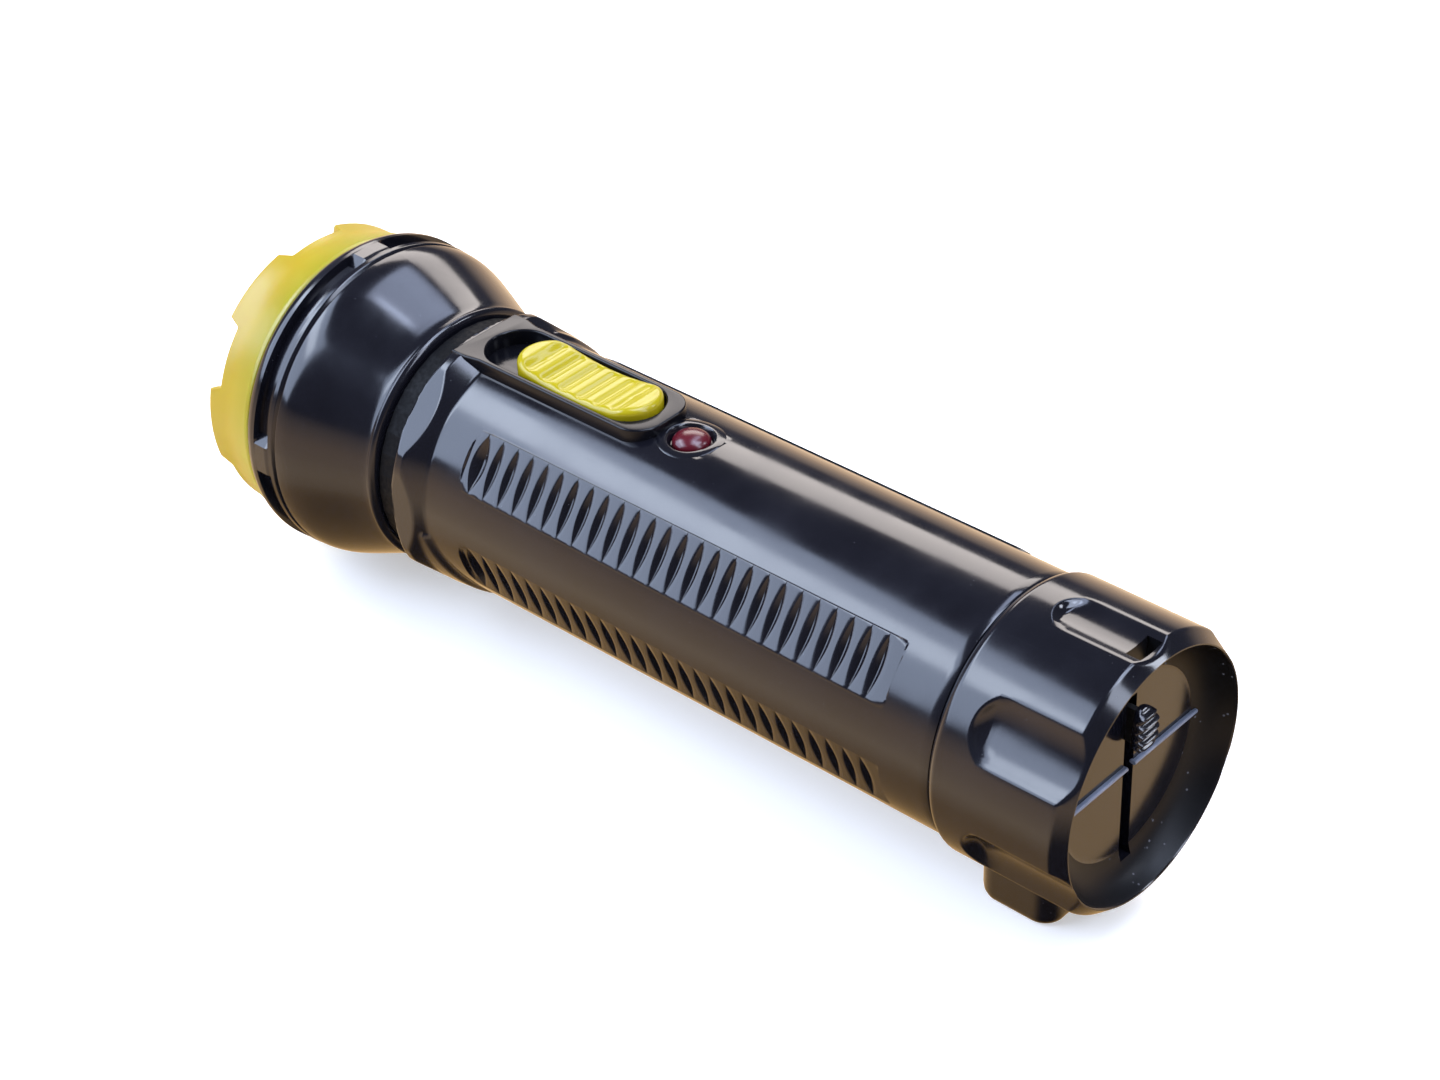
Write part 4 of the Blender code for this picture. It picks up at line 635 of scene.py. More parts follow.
BLACK = gloss_plastic("black_gloss", (0.0035, 0.0035, 0.0055), (0.006, 0.006, 0.009),
                      (0.06, 0.06, 0.07), dust=0.03)
DISH_BLACK = gloss_plastic("dish_black", (0.003, 0.003, 0.004), (0.005, 0.005, 0.006),
                           (0.09, 0.09, 0.10), (0.42, 0.5), 0.10, 0.04)
TRAY_BLACK = gloss_plastic("tray_black", (0.0035, 0.0035, 0.005), (0.006, 0.006, 0.008),
                           (0.06, 0.06, 0.07), (0.14, 0.22), 0.03)
YELLOW = gloss_plastic("bezel_yellow", (0.345, 0.228, 0.0045), (0.385, 0.262, 0.008),
                       (0.34, 0.27, 0.06), (0.30, 0.42), 0.02, 0.1)
LEMON = gloss_plastic("button_lemon", (0.335, 0.262, 0.003), (0.37, 0.29, 0.007),
                      (0.36, 0.32, 0.1), (0.16, 0.24), 0.03, 0.08)
RED = gloss_plastic("indicator_red", (0.060, 0.002, 0.006), (0.085, 0.003, 0.009),
                    (0.1, 0.02, 0.03), (0.20, 0.28), 0.02, 0.03)
# The dish rib's pale blue-grey colour is a painted highlight: it stands in for window light
# glinting off the rib, which is black plastic like the cap.
RIB_PAINTED_HIGHLIGHT = dull_surface("rib_painted_highlight", (0.13, 0.15, 0.20), (0.18, 0.20, 0.26), 0.35)
RUBBER = dull_surface("black_rubber", (0.002, 0.002, 0.0025), (0.004, 0.004, 0.0045), 0.6)
MIRROR = dull_surface("mirror_cup", (0.86, 0.86, 0.87), (0.90, 0.90, 0.91), 0.06, EVEN, 1.0, 0.03)
CLEAR = clear_material("clear_lens", (0.97, 0.98, 0.98), 0.03)
for material, level in ((DISH_BLACK, 0.2), (TRAY_BLACK, 0.2), (LEMON, 0.35), (RUBBER, 0.1)):
    set_shader(material, Specular_IOR_Level=level)
set_shader(YELLOW, Subsurface_Weight=0.2, Subsurface_Scale=0.002)
shade_along_length(YELLOW, (0.27, 0.235, 0.004), 167.5, 160.5)

NODE_FINISHES = (
    (RUBBER, ("neck_gasket", "lens_gasket")),
    (RED, ("indicator_lamp",)),
    (dull_surface("black_matte", (0.004, 0.004, 0.005), (0.008, 0.008, 0.009), 0.5),
     ("plug_guide", "plug_carrier", "switch_base", "diode_1", "diode_2", "diode_3", "diode_4")),
    (dull_surface("white_moulding", (0.72, 0.71, 0.67), (0.80, 0.79, 0.75), 0.45),
     ("switch_slider", "battery_cradle", "led_board")),
    (dull_surface("nickel", (0.60, 0.59, 0.56), (0.70, 0.69, 0.66), 0.28, BRUSHED, 1.0),
     ("guide_screw_left", "guide_screw_right", "contact_spring", "spring_plate",
      "positive_plate")),
    (dull_surface("brass", (0.72, 0.52, 0.24), (0.80, 0.62, 0.32), 0.26, BRUSHED, 1.0),
     ("switch_contact_front", "switch_contact_rear", "plug_contact_left", "plug_contact_right",
      "plug_pin_left", "plug_pin_right")),
    (dull_surface("alloy", (0.62, 0.62, 0.63), (0.72, 0.72, 0.73), 0.38, BRUSHED, 1.0),
     ("led_holder",)),
    (dull_surface("circuit_board", (0.02, 0.13, 0.05), (0.03, 0.2, 0.07), 0.35),
     ("charger_board",)),
    (gloss_plastic("cell_wrap", (0.02, 0.05, 0.24), (0.03, 0.07, 0.30), (0.2, 0.25, 0.4),
                   (0.2, 0.3)), ("battery_cell", "smoothing_capacitor")),
    (gloss_plastic("red_component", (0.42, 0.02, 0.015), (0.5, 0.03, 0.02), (0.5, 0.2, 0.2),
                   (0.22, 0.32)), ("film_capacitor",)),
    (dull_surface("resistor_lacquer", (0.50, 0.38, 0.22), (0.58, 0.45, 0.28), 0.35),
     ("resistor",)),
    (gloss_plastic("led_resin", (0.80, 0.62, 0.06), (0.88, 0.72, 0.1), (0.9, 0.8, 0.3),
                   (0.1, 0.18)), ("led_emitter",)),
    (dull_surface("wire_red", (0.42, 0.015, 0.015), (0.5, 0.02, 0.02), 0.35),
     ("wire_cell_to_switch", "wire_switch_to_lamp", "wire_charger_to_switch",
      "wire_mains_left")),
    (dull_surface("wire_black", (0.014, 0.014, 0.015), (0.02, 0.02, 0.02), 0.35),
     ("wire_ground_to_lamp",)),
    (dull_surface("wire_blue", (0.015, 0.04, 0.24), (0.02, 0.06, 0.3), 0.35),
     ("wire_mains_right",)),
)


def finish_nodes():
    """Gives every CAD node that stays its material."""
    for material, names in NODE_FINISHES:
        for name in names:
            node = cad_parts[name]
            node.data.materials.clear()
            node.data.materials.append(material)


# Tail cap


def mirrored_columns(half_degrees):
    """Angles right round the tube from those of one side, 0 and 180 degrees included once."""
    half = np.radians(half_degrees)
    return np.concatenate([half, 2 * math.pi - half[-2:0:-1]])


def banded_columns(bands, between):
    """Angles with finer (low, high, spacing) bands in degrees, and wider spacings between them."""
    stops = [0.0]
    for (low, high, fine), coarse in zip(bands, between):
        stops += [coarse, low, fine, high]
    return mirrored_columns(stretches(*stops, between[-1], 180.0))


def cap_surface(s, angle):
    """Outer radius of the tail cap with its scallops."""
    chamfer = RIM_RADIUS + s * (CAP_RADIUS - RIM_RADIUS) / CAP_CHAMFER
    radius = smooth_min(chamfer, CAP_RADIUS + 0 * s, CAP_BLEND)
    end = np.clip((s - CAP_LENGTH + CAP_FRONT_ROLL) / CAP_FRONT_ROLL, 0.0, 1.0)
    radius = radius - CAP_FRONT_DROP * end ** 2
    for centre, half_width in SCALLOPS:
        half = math.radians(half_width)
        rise = math.sqrt(SCALLOP_RADIUS ** 2 - (CAP_RADIUS * math.sin(half)) ** 2)
        height = CAP_RADIUS * math.cos(half) + rise
        away = turned(angle - math.radians(centre))
        near = np.abs(away) < half * 1.25
        away = np.where(near, away, 0.0)
        floor = height * np.cos(away)
        floor = floor - np.sqrt(SCALLOP_RADIUS ** 2 - (height * np.sin(away)) ** 2)
        bow = SCALLOP_BOW * (away / half) ** 2
        past = np.maximum(s - SCALLOP_FRONT + SCALLOP_END + bow, 0.0)
        dished = smooth_min(radius, floor + past ** 2 * SCALLOP_END_RISE, CAP_BLEND)
        radius = np.where(near, dished, radius)
    return radius


def blacken_dish_wall(cap):
    """Gives the dish's sloping wall its own duller black."""
    cap.data.materials.append(DISH_BLACK)
    for face in cap.data.polygons:
        s = TAIL_X - face.center.x / MM
        radius = math.hypot(face.center.y / MM, face.center.z / MM - AXIS_HEIGHT)
        inside_rim = radius < 19.96 - 0.1 * s
        if s < DISH_FLOOR - 0.02 and radius > DISH_FLAT[-1] + 0.1 and inside_rim:
            face.material_index = len(cap.data.materials) - 1


def make_tail_cap():
    edges = sorted(centre + side * half for centre, half in SCALLOPS for side in (-1, 1)
                   if centre >= 0 and centre + side * half > 0)
    columns = banded_columns([(edge - 0.6, edge + 0.6, 0.2) for edge in edges],
                             (1.2, 2.0, 1.3, 2.0, 1.3, 2.5))
    rings = [around(DISH_FLOOR, radius, columns) for radius in DISH_FLAT]
    rings += profile_rings(DISH_WALL, columns)
    for s in stretches(0.0, 0.12, 0.3, 0.3, 1.5, 0.1, 2.4, 1.2, 15.8, 0.12, 19.2, 0.9, 21.8, 0.13,
                       CAP_LENGTH):
        rings.append(around(s, cap_surface(s, columns), columns))
    rings += profile_rings(((CAP_LENGTH, CAP_FRONT_RADIUS), (CAP_LENGTH, CAP_BORE),
                            (PLATE_BACK, CAP_BORE), (PLATE_BACK, 0.0)), columns)
    cap = ring_piece("tail_cap_shell", rings, BLACK, closed=False)
    cavity = block("cavity_cutter", *PIN_ROOM, BLACK)
    slot = block("slot_cutter", *KNOB_SLOT, BLACK)
    eye = block("eye_cutter", *LANYARD_EYE, BLACK)
    cut(cap, [cavity, slot, eye], BLACK)
    blacken_dish_wall(cap)
    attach(cap, HOUSING)
    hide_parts("tail_cap")
    # The rib is given the pale painted-highlight material instead of the cap's black.
    rib = block("dish_rib", *RIB, RIB_PAINTED_HIGHLIGHT, RIB_ROUNDING)
    gap = block("rib_gap_cutter", *RIB_GAP, BLACK)
    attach(cut(rib, [gap], RIB_PAINTED_HIGHLIGHT), HOUSING)


def make_boss():
    """The block under the cap that the mains pins come out of."""
    bottom = -AXIS_HEIGHT
    levels = ((BOSS_TOP, 0.0), (-25.3, 0.0), (-26.2, -0.12), (-26.9, -0.45), (bottom + 0.08, -0.9),
              (bottom, -1.3))
    rings = []
    for h, grow in levels:
        loop = rounded_loop((BOSS_REAR - grow, BOSS_FRONT + grow), BOSS_HALF_WIDTH + grow,
                            BOSS_CORNER + grow)
        s, y = np.array(loop).T
        rings.append(place(s, y, h))
    centre = np.full(len(loop), (BOSS_REAR + BOSS_FRONT) / 2)
    rings.append(place(centre, 0.0, bottom))
    rings.insert(0, place(centre, 0.0, BOSS_TOP))
    boss = ring_piece("tail_boss", rings, BLACK, closed=False)
    cutters = [block("boss_cavity_cutter", *PIN_ROOM, BLACK)]
    half_length, half_width = PIN_HOLE_HALF
    for side in (-1, 1):
        cutters.append(block(f"pin_cutter_{side + 1}", either_side(PIN_S, half_length),
                             either_side(side * PIN_Y, half_width), PIN_HOLE_HEIGHTS, BLACK, 0.4))
    cut(boss, cutters, BLACK)
    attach(boss, HOUSING)


def squared(wave):
    """Pushes a sine or cosine outwards, which turns a circle into a rounded square."""
    return np.sign(wave) * np.abs(wave) ** KNOB_SQUARENESS


def make_plug_knob():
    """The thumb grip of the mains plug, lofted upwards, with ridges across its face."""
    low, high = KNOB_SPAN
    middle = (low + high) / 2
    reach = (high - low) / 2
    turn = np.linspace(0, 2 * math.pi, 64, endpoint=False)
    rings = []
    for share in np.sin(np.linspace(-math.pi / 2, math.pi / 2, 110)):
        h = middle + reach * share
        round_end = max(1 - abs(share) ** 3.2, 0.0) ** 0.5
        ridge = (0.5 + 0.5 * math.cos(2 * math.pi * (h - middle) / KNOB_PITCH)) ** 1.4
        stands_out = KNOB_BACK - KNOB_FACE - KNOB_RIDGE + KNOB_RIDGE * ridge
        out = KNOB_BACK - stands_out * round_end ** 0.7
        y = KNOB_HALF_WIDTH * round_end * squared(np.cos(turn))
        s = KNOB_BACK + (out - KNOB_BACK) * (0.5 + 0.5 * squared(np.sin(turn)))
        rings.append(place(s, y, h))
    knob = ring_piece("plug_grip", rings, BLACK, closed=False)
    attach(knob, "plug")
    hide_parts("plug_knob")


# Body tube


def heel_radius(s, angle):
    """Radius of the low step that sweeps back from the collar under the tube."""
    lean = np.maximum(np.cos(angle - math.radians(HEEL_TURN)) + HEEL_SPREAD, 0.0)
    start = HEEL_REAR - lean * HEEL_SWEEP
    rise = np.interp(s - start, *zip(*HEEL_STEP))
    return BODY_RADIUS + np.where(lean > 0.02, rise, -1.0)


def collar_radius(s, angle):
    """The flared collar with its eight flats."""
    cone = np.interp(s, (COLLAR_REAR - 4.0, COLLAR_REAR, COLLAR_CORNER),
                     (BODY_RADIUS - 2.4, BODY_RADIUS, COLLAR_CORNER_RADIUS))
    eighth = math.pi / 4
    flat = COLLAR_FLAT / np.cos((angle + eighth / 2) % eighth - eighth / 2)
    return smooth_min(cone, flat, 0.2)


def notch_fullness(index, across):
    """A notch's share of full size at an offset across its panel, 0 at the tips."""
    widening = np.where(index == NOTCH_COUNT - 1, FIRST_NOTCH_WIDENING, 1.0)
    return widening * np.maximum(1 - (across / NOTCH_HALF_LENGTH) ** 2, 0.0)


def notch_depth(s, across):
    """Depth of the V notches below a panel's flat."""
    index = np.clip(np.round((s - NOTCH_FIRST) / NOTCH_PITCH), 0, NOTCH_COUNT - 1)
    fullness = notch_fullness(index, across)
    offset = np.abs(s - NOTCH_FIRST - index * NOTCH_PITCH)
    reach = np.maximum(NOTCH_HALF_WIDTH * fullness, 1e-6)
    return NOTCH_DEPTH * fullness * np.clip(1.04 - offset / reach, 0.0, 1.0)


def with_panels(radius, s, angle):
    """Sinks the flat grip panels and their notches into the tube."""
    middle = (PANEL_REAR + PANEL_FRONT) / 2
    for centre, height in zip(PANEL_ANGLES, PANEL_HEIGHTS):
        away = turned(angle - math.radians(centre))
        near = np.abs(away) < PANEL_REACH
        away = np.where(near, away, 0.0)
        across = BODY_RADIUS * np.sin(away)
        corner = np.where(s > middle, PANEL_CORNERS[1], PANEL_CORNERS[0])
        distance = rounded_box_distance(s - middle, across, (PANEL_FRONT - PANEL_REAR) / 2,
                                        PANEL_HALF_WIDTH, corner)
        inside = smooth_step(-distance, -0.06, 0.16) * near
        pad = (height - notch_depth(s, across)) / np.cos(away)
        radius = radius * (1 - inside) + pad * inside
    return radius


def body_surface(s, angle):
    """Outer radius of the tube; the places under the switch platform and the lamp are sunk."""
    radius = smooth_max(np.full_like(s, BODY_RADIUS), collar_radius(s, angle), 0.25)
    radius = smooth_max(radius, heel_radius(s, angle), 0.2)
    radius = smooth_min(radius, COLLAR_FRONT_RADIUS + (COLLAR_FRONT - s) * 0.9, 0.25)
    radius = with_panels(radius, s, angle)
    from_top = turned(angle)
    across = PLATFORM_TOP * np.tan(np.clip(from_top, -0.7, 0.7))
    front = COLLAR_FRONT - 1.0
    platform = rounded_box_distance(s - (PLATFORM_REAR + front) / 2, across,
                                    (front - PLATFORM_REAR) / 2, PLATFORM_HALF_WIDTH,
                                    PLATFORM_CORNER)
    sunk = smooth_step(-platform, 0.45, 0.8)
    lamp = np.hypot(s - INDICATOR_S, BODY_RADIUS * np.sin(np.clip(from_top, -1.5, 1.5)))
    on_top = np.abs(from_top) < 1
    sunk = np.maximum(sunk, smooth_step(LAMP_POCKET - lamp, 0.0, 0.25) * on_top)
    return radius * (1 - sunk) + SUNKEN_RADIUS * sunk


def panel_offset(columns):
    """Offset of each column across its nearest grip panel."""
    centres = np.radians(PANEL_ANGLES)[:, None]
    away = turned(columns[None, :] - centres)
    nearest = away[np.abs(away).argmin(axis=0), np.arange(len(columns))]
    return BODY_RADIUS * np.sin(np.clip(nearest, -0.5, 0.5))


def body_rows(columns):
    """The s values of every row, drawn together where the notches narrow."""
    flat = np.ones_like(columns)
    rows = [flat * s for s in stretches(BODY_REAR + 0.3, 1.4, PANEL_REAR - 0.5, 0.12,
                                        PANEL_REAR + 0.4)]
    across = panel_offset(columns)
    for index in range(NOTCH_COUNT):
        centre = NOTCH_FIRST + index * NOTCH_PITCH
        reach = np.maximum(NOTCH_HALF_WIDTH * notch_fullness(index, across), NOTCH_TIP)
        shares = FIRST_NOTCH_ROWS if index == NOTCH_COUNT - 1 else NOTCH_ROWS
        first = centre + shares[0] * reach
        rows += [rows[-1] + (first - rows[-1]) * share for share in (1 / 3, 2 / 3)]
        rows += [centre + share * reach for share in shares]
    rows += [flat * s for s in stretches(PANEL_FRONT - 0.8, 0.1, PANEL_FRONT + 0.4, 0.35,
                                         COLLAR_REAR - 0.4, 0.18, COLLAR_FRONT)]
    return rows


def make_body_tube():
    columns = banded_columns(
        ((13.5, 18.0, 0.3), (39.8, 41.0, 0.2), (68.2, 69.2, 0.2), (93.9, 94.9, 0.2),
         (122.1, 123.1, 0.2)), (1.2, 1.8, 1.3, 1.8, 1.3, 2.2))
    rings = profile_rings(BODY_REAR_EDGE, columns)
    for s in body_rows(columns):
        rings.append(around(s, body_surface(s, columns), columns))
    inner = [(COLLAR_FACE, radius) for radius in COLLAR_FACE_RADII]
    inner += [(s, NECK_RADIUS) for s in NECK_STOPS]
    inner += [(NECK_STOPS[-1], BODY_BORE), (SPIGOT_REAR, BODY_BORE), (SPIGOT_REAR, SPIGOT_RADIUS),
              (SPIGOT_FRONT, SPIGOT_RADIUS)]
    rings += profile_rings(inner, columns)
    body = ring_piece("body_shell", rings, BLACK)
    slot = block("stem_cutter", STEM_SLOT, either_side(0.0, STEM_SLOT_HALF_WIDTH),
                 TUBE_WALL_HEIGHTS, BLACK)
    notch = block("notch_cutter", *PIN_NOTCH, BLACK)
    lamp = block("lamp_cutter", either_side(INDICATOR_S, LAMP_HOLE_HALF),
                 either_side(0.0, LAMP_HOLE_HALF), TUBE_WALL_HEIGHTS, BLACK)
    cut(body, [slot, notch, lamp], BLACK)
    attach(body, HOUSING)
    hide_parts("body_tube")


def platform_loop():
    """Outline of the switch platform, which widens where it runs into the collar."""
    half = PLATFORM_HALF_WIDTH
    side = []
    for turn in np.linspace(math.pi / 2, 0.0, 21):
        side.append((PLATFORM_REAR + PLATFORM_CORNER * (1 - math.sin(turn)),
                     half - PLATFORM_CORNER * (1 - math.cos(turn))))
    side += [(PLATFORM_WIDE_START, half), (PLATFORM_WIDE_FRONT, PLATFORM_WIDE_HALF_WIDTH),
             (COLLAR_FRONT - 0.4, PLATFORM_WIDE_HALF_WIDTH)]
    return side + [(s, -y) for s, y in reversed(side)]


def make_platform():
    recess = rounded_loop((RECESS_REAR, RECESS_FRONT), RECESS_HALF_WIDTH,
                          RECESS_HALF_WIDTH - 0.01, 28)
    rim = outline_plate("switch_platform", [platform_loop(), recess], PLATFORM_BOTTOM,
                        PLATFORM_TOP, PLATFORM_ROUNDING, TRAY_BLACK)
    under = 0.4
    floor_loop = rounded_loop((RECESS_REAR - under, RECESS_FRONT + under),
                              RECESS_HALF_WIDTH + under, 5.8, 20)
    slot = rounded_loop(STEM_SLOT, STEM_SLOT_HALF_WIDTH, 0.4, 4)
    floor = outline_plate("switch_recess_floor", [floor_loop, slot], RECESS_BOTTOM, RECESS_FLOOR,
                          0.05, TRAY_BLACK)
    for piece in (rim, floor):
        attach(piece, HOUSING)


def make_indicator():
    """The charging light: a draped seat ring sunk in the tube, and a red dome in it."""
    turn = np.linspace(0, 2 * math.pi, 96, endpoint=False)
    rings = []
    for radius, rise in SEAT_PROFILE:
        y = radius * np.sin(turn)
        level = BODY_RADIUS + 0 * y
        if radius > SEAT_DRAPE:
            level = np.sqrt(BODY_RADIUS ** 2 - y ** 2)
        rings.append(place(INDICATOR_S + radius * np.cos(turn), y, level + rise))
    seat = ring_piece("indicator_seat", rings, BLACK)
    outline = [(DOME_RADIUS * math.sin(tilt), DOME_EDGE + DOME_RISE * math.cos(tilt))
               for tilt in np.linspace(0.0, math.pi / 2, 13)]
    outline += [(DOME_RADIUS, DOME_BOTTOM), (0.0, DOME_BOTTOM)]
    dome = [place(INDICATOR_S + radius * np.cos(turn), radius * np.sin(turn), height)
            for radius, height in outline]
    lens = ring_piece("indicator_dome", dome, RED, closed=False)
    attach(seat, HOUSING)
    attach(lens, HOUSING)
    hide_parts("indicator_lens")


# Switch button


def button_height(s, inset):
    """Height of the button's saddle top with its cross ridges at a distance inside its edge."""
    from_middle = np.abs(s - BUTTON_MIDDLE)
    reach = from_middle / ((BUTTON_FRONT - BUTTON_REAR) / 2)
    top = BUTTON_DIP_TOP + (BUTTON_END_TOP - BUTTON_DIP_TOP) * np.minimum(reach / 0.8, 1.0) ** 2
    turn = np.clip(1 - inset / BUTTON_ROUNDING, 0.0, 1.0)
    top = top - BUTTON_ROUNDING * (1 - np.sqrt(1 - turn ** 2))
    wave = 0.5 - 0.5 * np.cos(2 * math.pi * ((s - BUTTON_MIDDLE) / BUTTON_RIDGE_PITCH + 0.5))
    ridge = BUTTON_RIDGE * (1 - wave) ** 1.6
    return top - ridge * smooth_step(inset, 0.35, 1.3) * smooth_step(from_middle, 12.6, 11.2)


def button_loop(inset):
    """Points of the button's long round-ended outline, at a distance inside its edge."""
    first = BUTTON_REAR + BUTTON_HALF_WIDTH
    last = BUTTON_FRONT - BUTTON_HALF_WIDTH
    side = stretches(first, 0.14, last)
    arc = np.linspace(-math.pi / 2, math.pi / 2, 40)[1:-1]
    reach = BUTTON_HALF_WIDTH - inset
    s = np.concatenate([side, last + reach * np.cos(-arc), side[::-1], first - reach * np.cos(arc)])
    y = np.concatenate([np.full(len(side), reach), reach * np.sin(-arc),
                        np.full(len(side), -reach), reach * np.sin(arc)])
    return s, y


def make_switch_button():
    s, y = button_loop(0.0)
    rings = [place(s, 0 * y, BUTTON_BOTTOM), place(s, y, BUTTON_BOTTOM)]
    for inset in (0.0, 0.04, 0.12, 0.24, 0.4, 0.6, 0.85, 1.1, 1.4, 1.8, 2.4, 3.2, 4.2,
                  BUTTON_HALF_WIDTH):
        s, y = button_loop(inset)
        rings.append(place(s, y, button_height(s, inset)))
    button = ring_piece("thumb_button", rings, LEMON, closed=False)
    half_length, half_width = STEM_HALF
    stem = block("button_stem", either_side(BUTTON_MIDDLE, half_length),
                 either_side(0.0, half_width), STEM_HEIGHTS, LEMON, 0.2)
    for piece in (button, stem):
        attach(piece, "switch")
    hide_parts("switch_button")


# Head


def head_profile(s):
    """Outer radius of the head: a bead, the flaring bell, a fine V seam and the front ring."""
    seam = np.maximum(1 - np.abs(s - SEAM_S) / SEAM_HALF_WIDTH, 0.0)
    return curve_through(HEAD_PROFILE, s) - SEAM_DEPTH * seam


def head_surface(s, angle):
    """Outer radius of the head with the four long slots in its front ring."""
    quarter = math.pi / 2
    away = (angle - math.radians(HEAD_LAND_TURN) + quarter / 2) % quarter - quarter / 2
    from_land = HEAD_RADIUS * np.abs(away) - HEAD_LAND_WIDTH / 2
    end_wall = np.clip(from_land / HEAD_SLOT_END, 0.0, 1.0)
    side_wall = np.clip((HEAD_SLOT_WIDTH / 2 + 0.1 - np.abs(s - HEAD_SLOT_S)) / 0.2, 0.0, 1.0)
    return head_profile(s) - (HEAD_RADIUS - HEAD_SLOT_RADIUS) * end_wall * side_wall


def make_head():
    land = math.degrees(HEAD_LAND_WIDTH / 2 / HEAD_RADIUS)
    wall = land + math.degrees(HEAD_SLOT_END / HEAD_RADIUS)
    quarter = np.concatenate([stretches(-land, land, 0.0, land, land, 0.35, wall, 2.0, 45.0),
                              stretches(-45.0, 2.0, -wall, 0.35, -land)[1:-1]])
    columns = np.radians(np.sort(np.concatenate(
        [quarter + HEAD_LAND_TURN + 90.0 * k for k in range(4)])))
    columns = columns[np.append(True, np.diff(columns) > 1e-6)]
    rings = [around(HEAD_REAR, radius, columns) for radius in HEAD_REAR_RADII]
    for s in stretches(HEAD_REAR, 0.12, 138.4, 0.5, 152.6, 0.3, SEAM_S - 0.6, 0.1, SEAM_S + 0.6,
                       0.1, 158.8, 0.12, HEAD_FRONT):
        rings.append(around(s, head_surface(np.full_like(columns, s), columns), columns))
    rings += profile_rings(HEAD_INSIDE, columns)
    head = ring_piece("head_bell", rings, BLACK)
    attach(head, HOUSING)
    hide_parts("head_shell")


def bezel_front(columns):
    """How far forward the bezel reaches at each angle: teeth with sloping flanks."""
    period = 2 * math.pi / TOOTH_COUNT
    from_gap = np.degrees(np.abs(columns % period - period / 2))
    slope = TOOTH_SLOPE / 2
    rise = smooth_step(from_gap, TOOTH_GAP_HALF - slope, TOOTH_GAP_HALF + slope)
    return LENGTH - TOOTH_DEPTH * (1 - rise)


def make_bezel():
    pitch = 360.0 / TOOTH_COUNT
    half = stretches(0.0, 1.2, TOOTH_GAP_HALF - 2.0, 0.2, TOOTH_GAP_HALF + 2.0, 1.2, pitch / 2)
    tooth = np.concatenate([half, pitch - half[-2:0:-1]])
    turned_by = math.radians(pitch / 2)
    columns = np.radians(np.concatenate([tooth + pitch * k for k in range(TOOTH_COUNT)]))
    columns = columns + turned_by
    front = bezel_front(columns - turned_by)
    rings = profile_rings(((BEZEL_SPIGOT_REAR, BEZEL_SPIGOT_RADIUS),
                           (BEZEL_REAR, BEZEL_SPIGOT_RADIUS), (BEZEL_REAR, 25.8)), columns)
    for s in stretches(BEZEL_REAR, 0.25, 162.4, 0.8, BEZEL_BODY_END):
        rings.append(around(s, curve_through(BEZEL_PROFILE, np.full_like(columns, s)), columns))
    shoulder = front - TOOTH_ROUNDING
    for share in np.linspace(0.15, 1.0, 7):
        s = BEZEL_BODY_END + (shoulder - BEZEL_BODY_END) * share
        rings.append(around(s, curve_through(BEZEL_PROFILE, s), columns))
    top = curve_through(BEZEL_PROFILE, shoulder)
    for turn in np.linspace(0.0, math.pi / 2, 7)[1:]:
        rings.append(around(shoulder + TOOTH_ROUNDING * math.sin(turn),
                            top - TOOTH_ROUNDING * (1 - math.cos(turn)), columns))
    inner_edge = BEZEL_BORE + 0.15 * (front - LENS_FRONT)
    for turn in np.linspace(0.0, math.pi / 2, 5):
        rings.append(around(front - TOOTH_INNER_ROUNDING * (1 - math.cos(turn)),
                            inner_edge + TOOTH_INNER_ROUNDING * (1 - math.sin(turn)), columns))
    ledge = LENS_FRONT + 0.3
    pocket = LENS_RADIUS + 0.3
    rings += profile_rings(((ledge + 0.3, BEZEL_BORE), (ledge, BEZEL_BORE + 0.1), (ledge, pocket),
                            (BEZEL_SPIGOT_REAR, pocket)), columns)
    bezel = ring_piece("toothed_bezel", rings, YELLOW)
    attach(bezel, HOUSING)
    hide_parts("bezel_ring")


def make_lens_and_reflector():
    disc = ((LENS_REAR, 0.0), (LENS_REAR, LENS_RADIUS), (LENS_FRONT, LENS_RADIUS),
            (LENS_FRONT, 0.0))
    lens = lathe_piece("front_lens", softened(disc, 0.25), CLEAR)
    span = CUP_FRONT - CUP_REAR
    focal = (CUP_RADIUS ** 2 - CUP_HOLE ** 2) / span
    inside = []
    for step in range(CUP_RINGS + 1):
        along = span * (step / CUP_RINGS) ** 1.5
        inside.append((CUP_REAR + along, math.sqrt(CUP_HOLE ** 2 + focal * along)))
    outside = [(s, radius + CUP_WALL) for s, radius in inside[:-3]]
    cup = lathe_piece("parabolic_cup", [*outside, *CUP_RIM, *inside[::-1]], MIRROR)
    for piece, node, slot in ((lens, "lens", "clear_lens"), (cup, "reflector", "mirror_cup")):
        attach(piece, HOUSING)
        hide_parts(node)


# Floor, light and camera


def make_floor():
    bpy.ops.mesh.primitive_plane_add(size=FLOOR_SIZE, location=(0, 0, -FLOOR_GAP))
    floor = bpy.context.object
    floor.name = "studio_floor"
    material, source = start_material("studio_white", Base_Color=(0.80, 0.79, 0.77),
                                      Emission_Color=(1.0, 1.0, 1.0), Emission_Strength=0.45)
    grain = pattern(material, "TexNoise", source, 40.0, Detail=2.0)
    set_shader(material, Roughness=ramp(material, grain, 0.3, 0.7, 0.16, 0.2))
    floor.data.materials.append(material)
    floor.visible_glossy = False


def area_light(name, direction, distance, size, power, colour):
    """A soft panel that faces the flashlight from a direction."""
    light = bpy.data.lights.new(name, "AREA")
    light.shape = "RECTANGLE"
    light.size, light.size_y = size
    light.energy = power
    light.color = colour
    holder = link_object(name, light)
    away = Vector(direction).normalized()
    holder.location = Vector((0.0, 0.0, AXIS_HEIGHT * MM)) + away * distance
    holder.rotation_euler = away.to_track_quat("Z", "Y").to_euler()
    holder.visible_camera = False


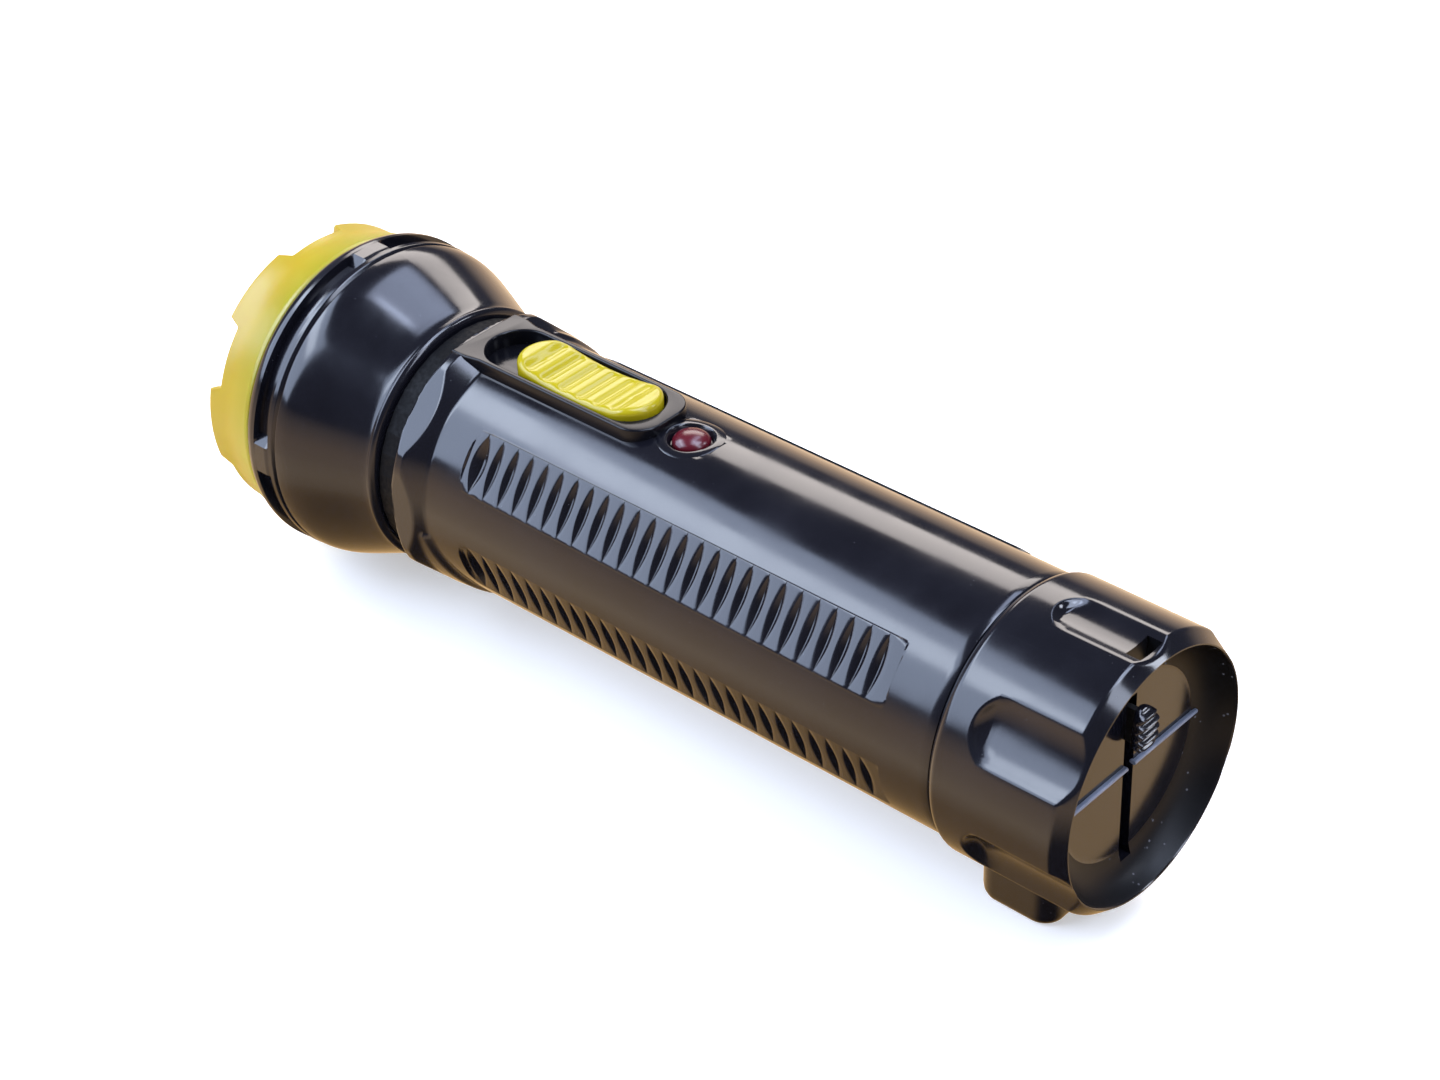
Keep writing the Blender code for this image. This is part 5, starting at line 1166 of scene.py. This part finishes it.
def make_world():
    """A studio surround: dim above, warm below with a dark spot, and pale to the camera."""
    world = bpy.data.worlds.new("studio")
    world.use_nodes = True
    world.node_tree.nodes.clear()
    direction = new_node(world, "TexCoord").outputs["Generated"]
    height = new_node(world, "SeparateXYZ", Vector=direction).outputs["Z"]
    colours = new_node(world, "ValToRGB", Fac=ramp(world, height, -1.0, 1.0, 0.0, 1.0))
    stops = colours.color_ramp.elements
    while len(stops) < len(SURROUND):
        stops.new(0.5)
    for stop, (position, colour) in zip(stops, SURROUND):
        stop.position = position
        stop.color = (*colour, 1.0)
    toward = new_node(world, "VectorMath")
    toward.operation = "DOT_PRODUCT"
    toward.inputs[1].default_value = DARK_SPOT
    feed(world, direction, toward.inputs[0])
    strength = ramp(world, toward.outputs["Value"], *DARK_SPOT_EDGES, 1.0, DARK_SPOT_LEVEL)
    surround = new_node(world, "Background", Color=colours.outputs["Color"], Strength=strength)
    pale = new_node(world, "Background", Color=BACKGROUND)
    seen = new_node(world, "LightPath").outputs["Is Camera Ray"]
    choose = new_node(world, "MixShader", Fac=seen)
    feed(world, surround.outputs["Background"], choose.inputs[1])
    feed(world, pale.outputs["Background"], choose.inputs[2])
    new_node(world, "OutputWorld", Surface=choose.outputs["Shader"])
    bpy.context.scene.world = world


def make_camera():
    """The photograph's viewpoint."""
    camera = bpy.data.cameras.new("camera")
    camera.lens = CAMERA_LENS
    camera.sensor_width = CAMERA_SENSOR
    camera.clip_start = 0.01
    holder = link_object("camera", camera)
    back = CAMERA_RIGHT.cross(CAMERA_UP)
    turn = Matrix((CAMERA_RIGHT, CAMERA_UP, back)).transposed().to_4x4()
    holder.matrix_world = Matrix.Translation(CAMERA_PLACE) @ turn
    bpy.context.scene.camera = holder


finish_nodes()
make_tail_cap()
make_boss()
make_plug_knob()
make_body_tube()
make_platform()
make_indicator()
make_switch_button()
make_head()
make_bezel()
make_lens_and_reflector()
make_floor()
make_world()
for light in LIGHTS:
    area_light(*light)
make_camera()
bpy.context.scene.view_settings.view_transform = "Standard"
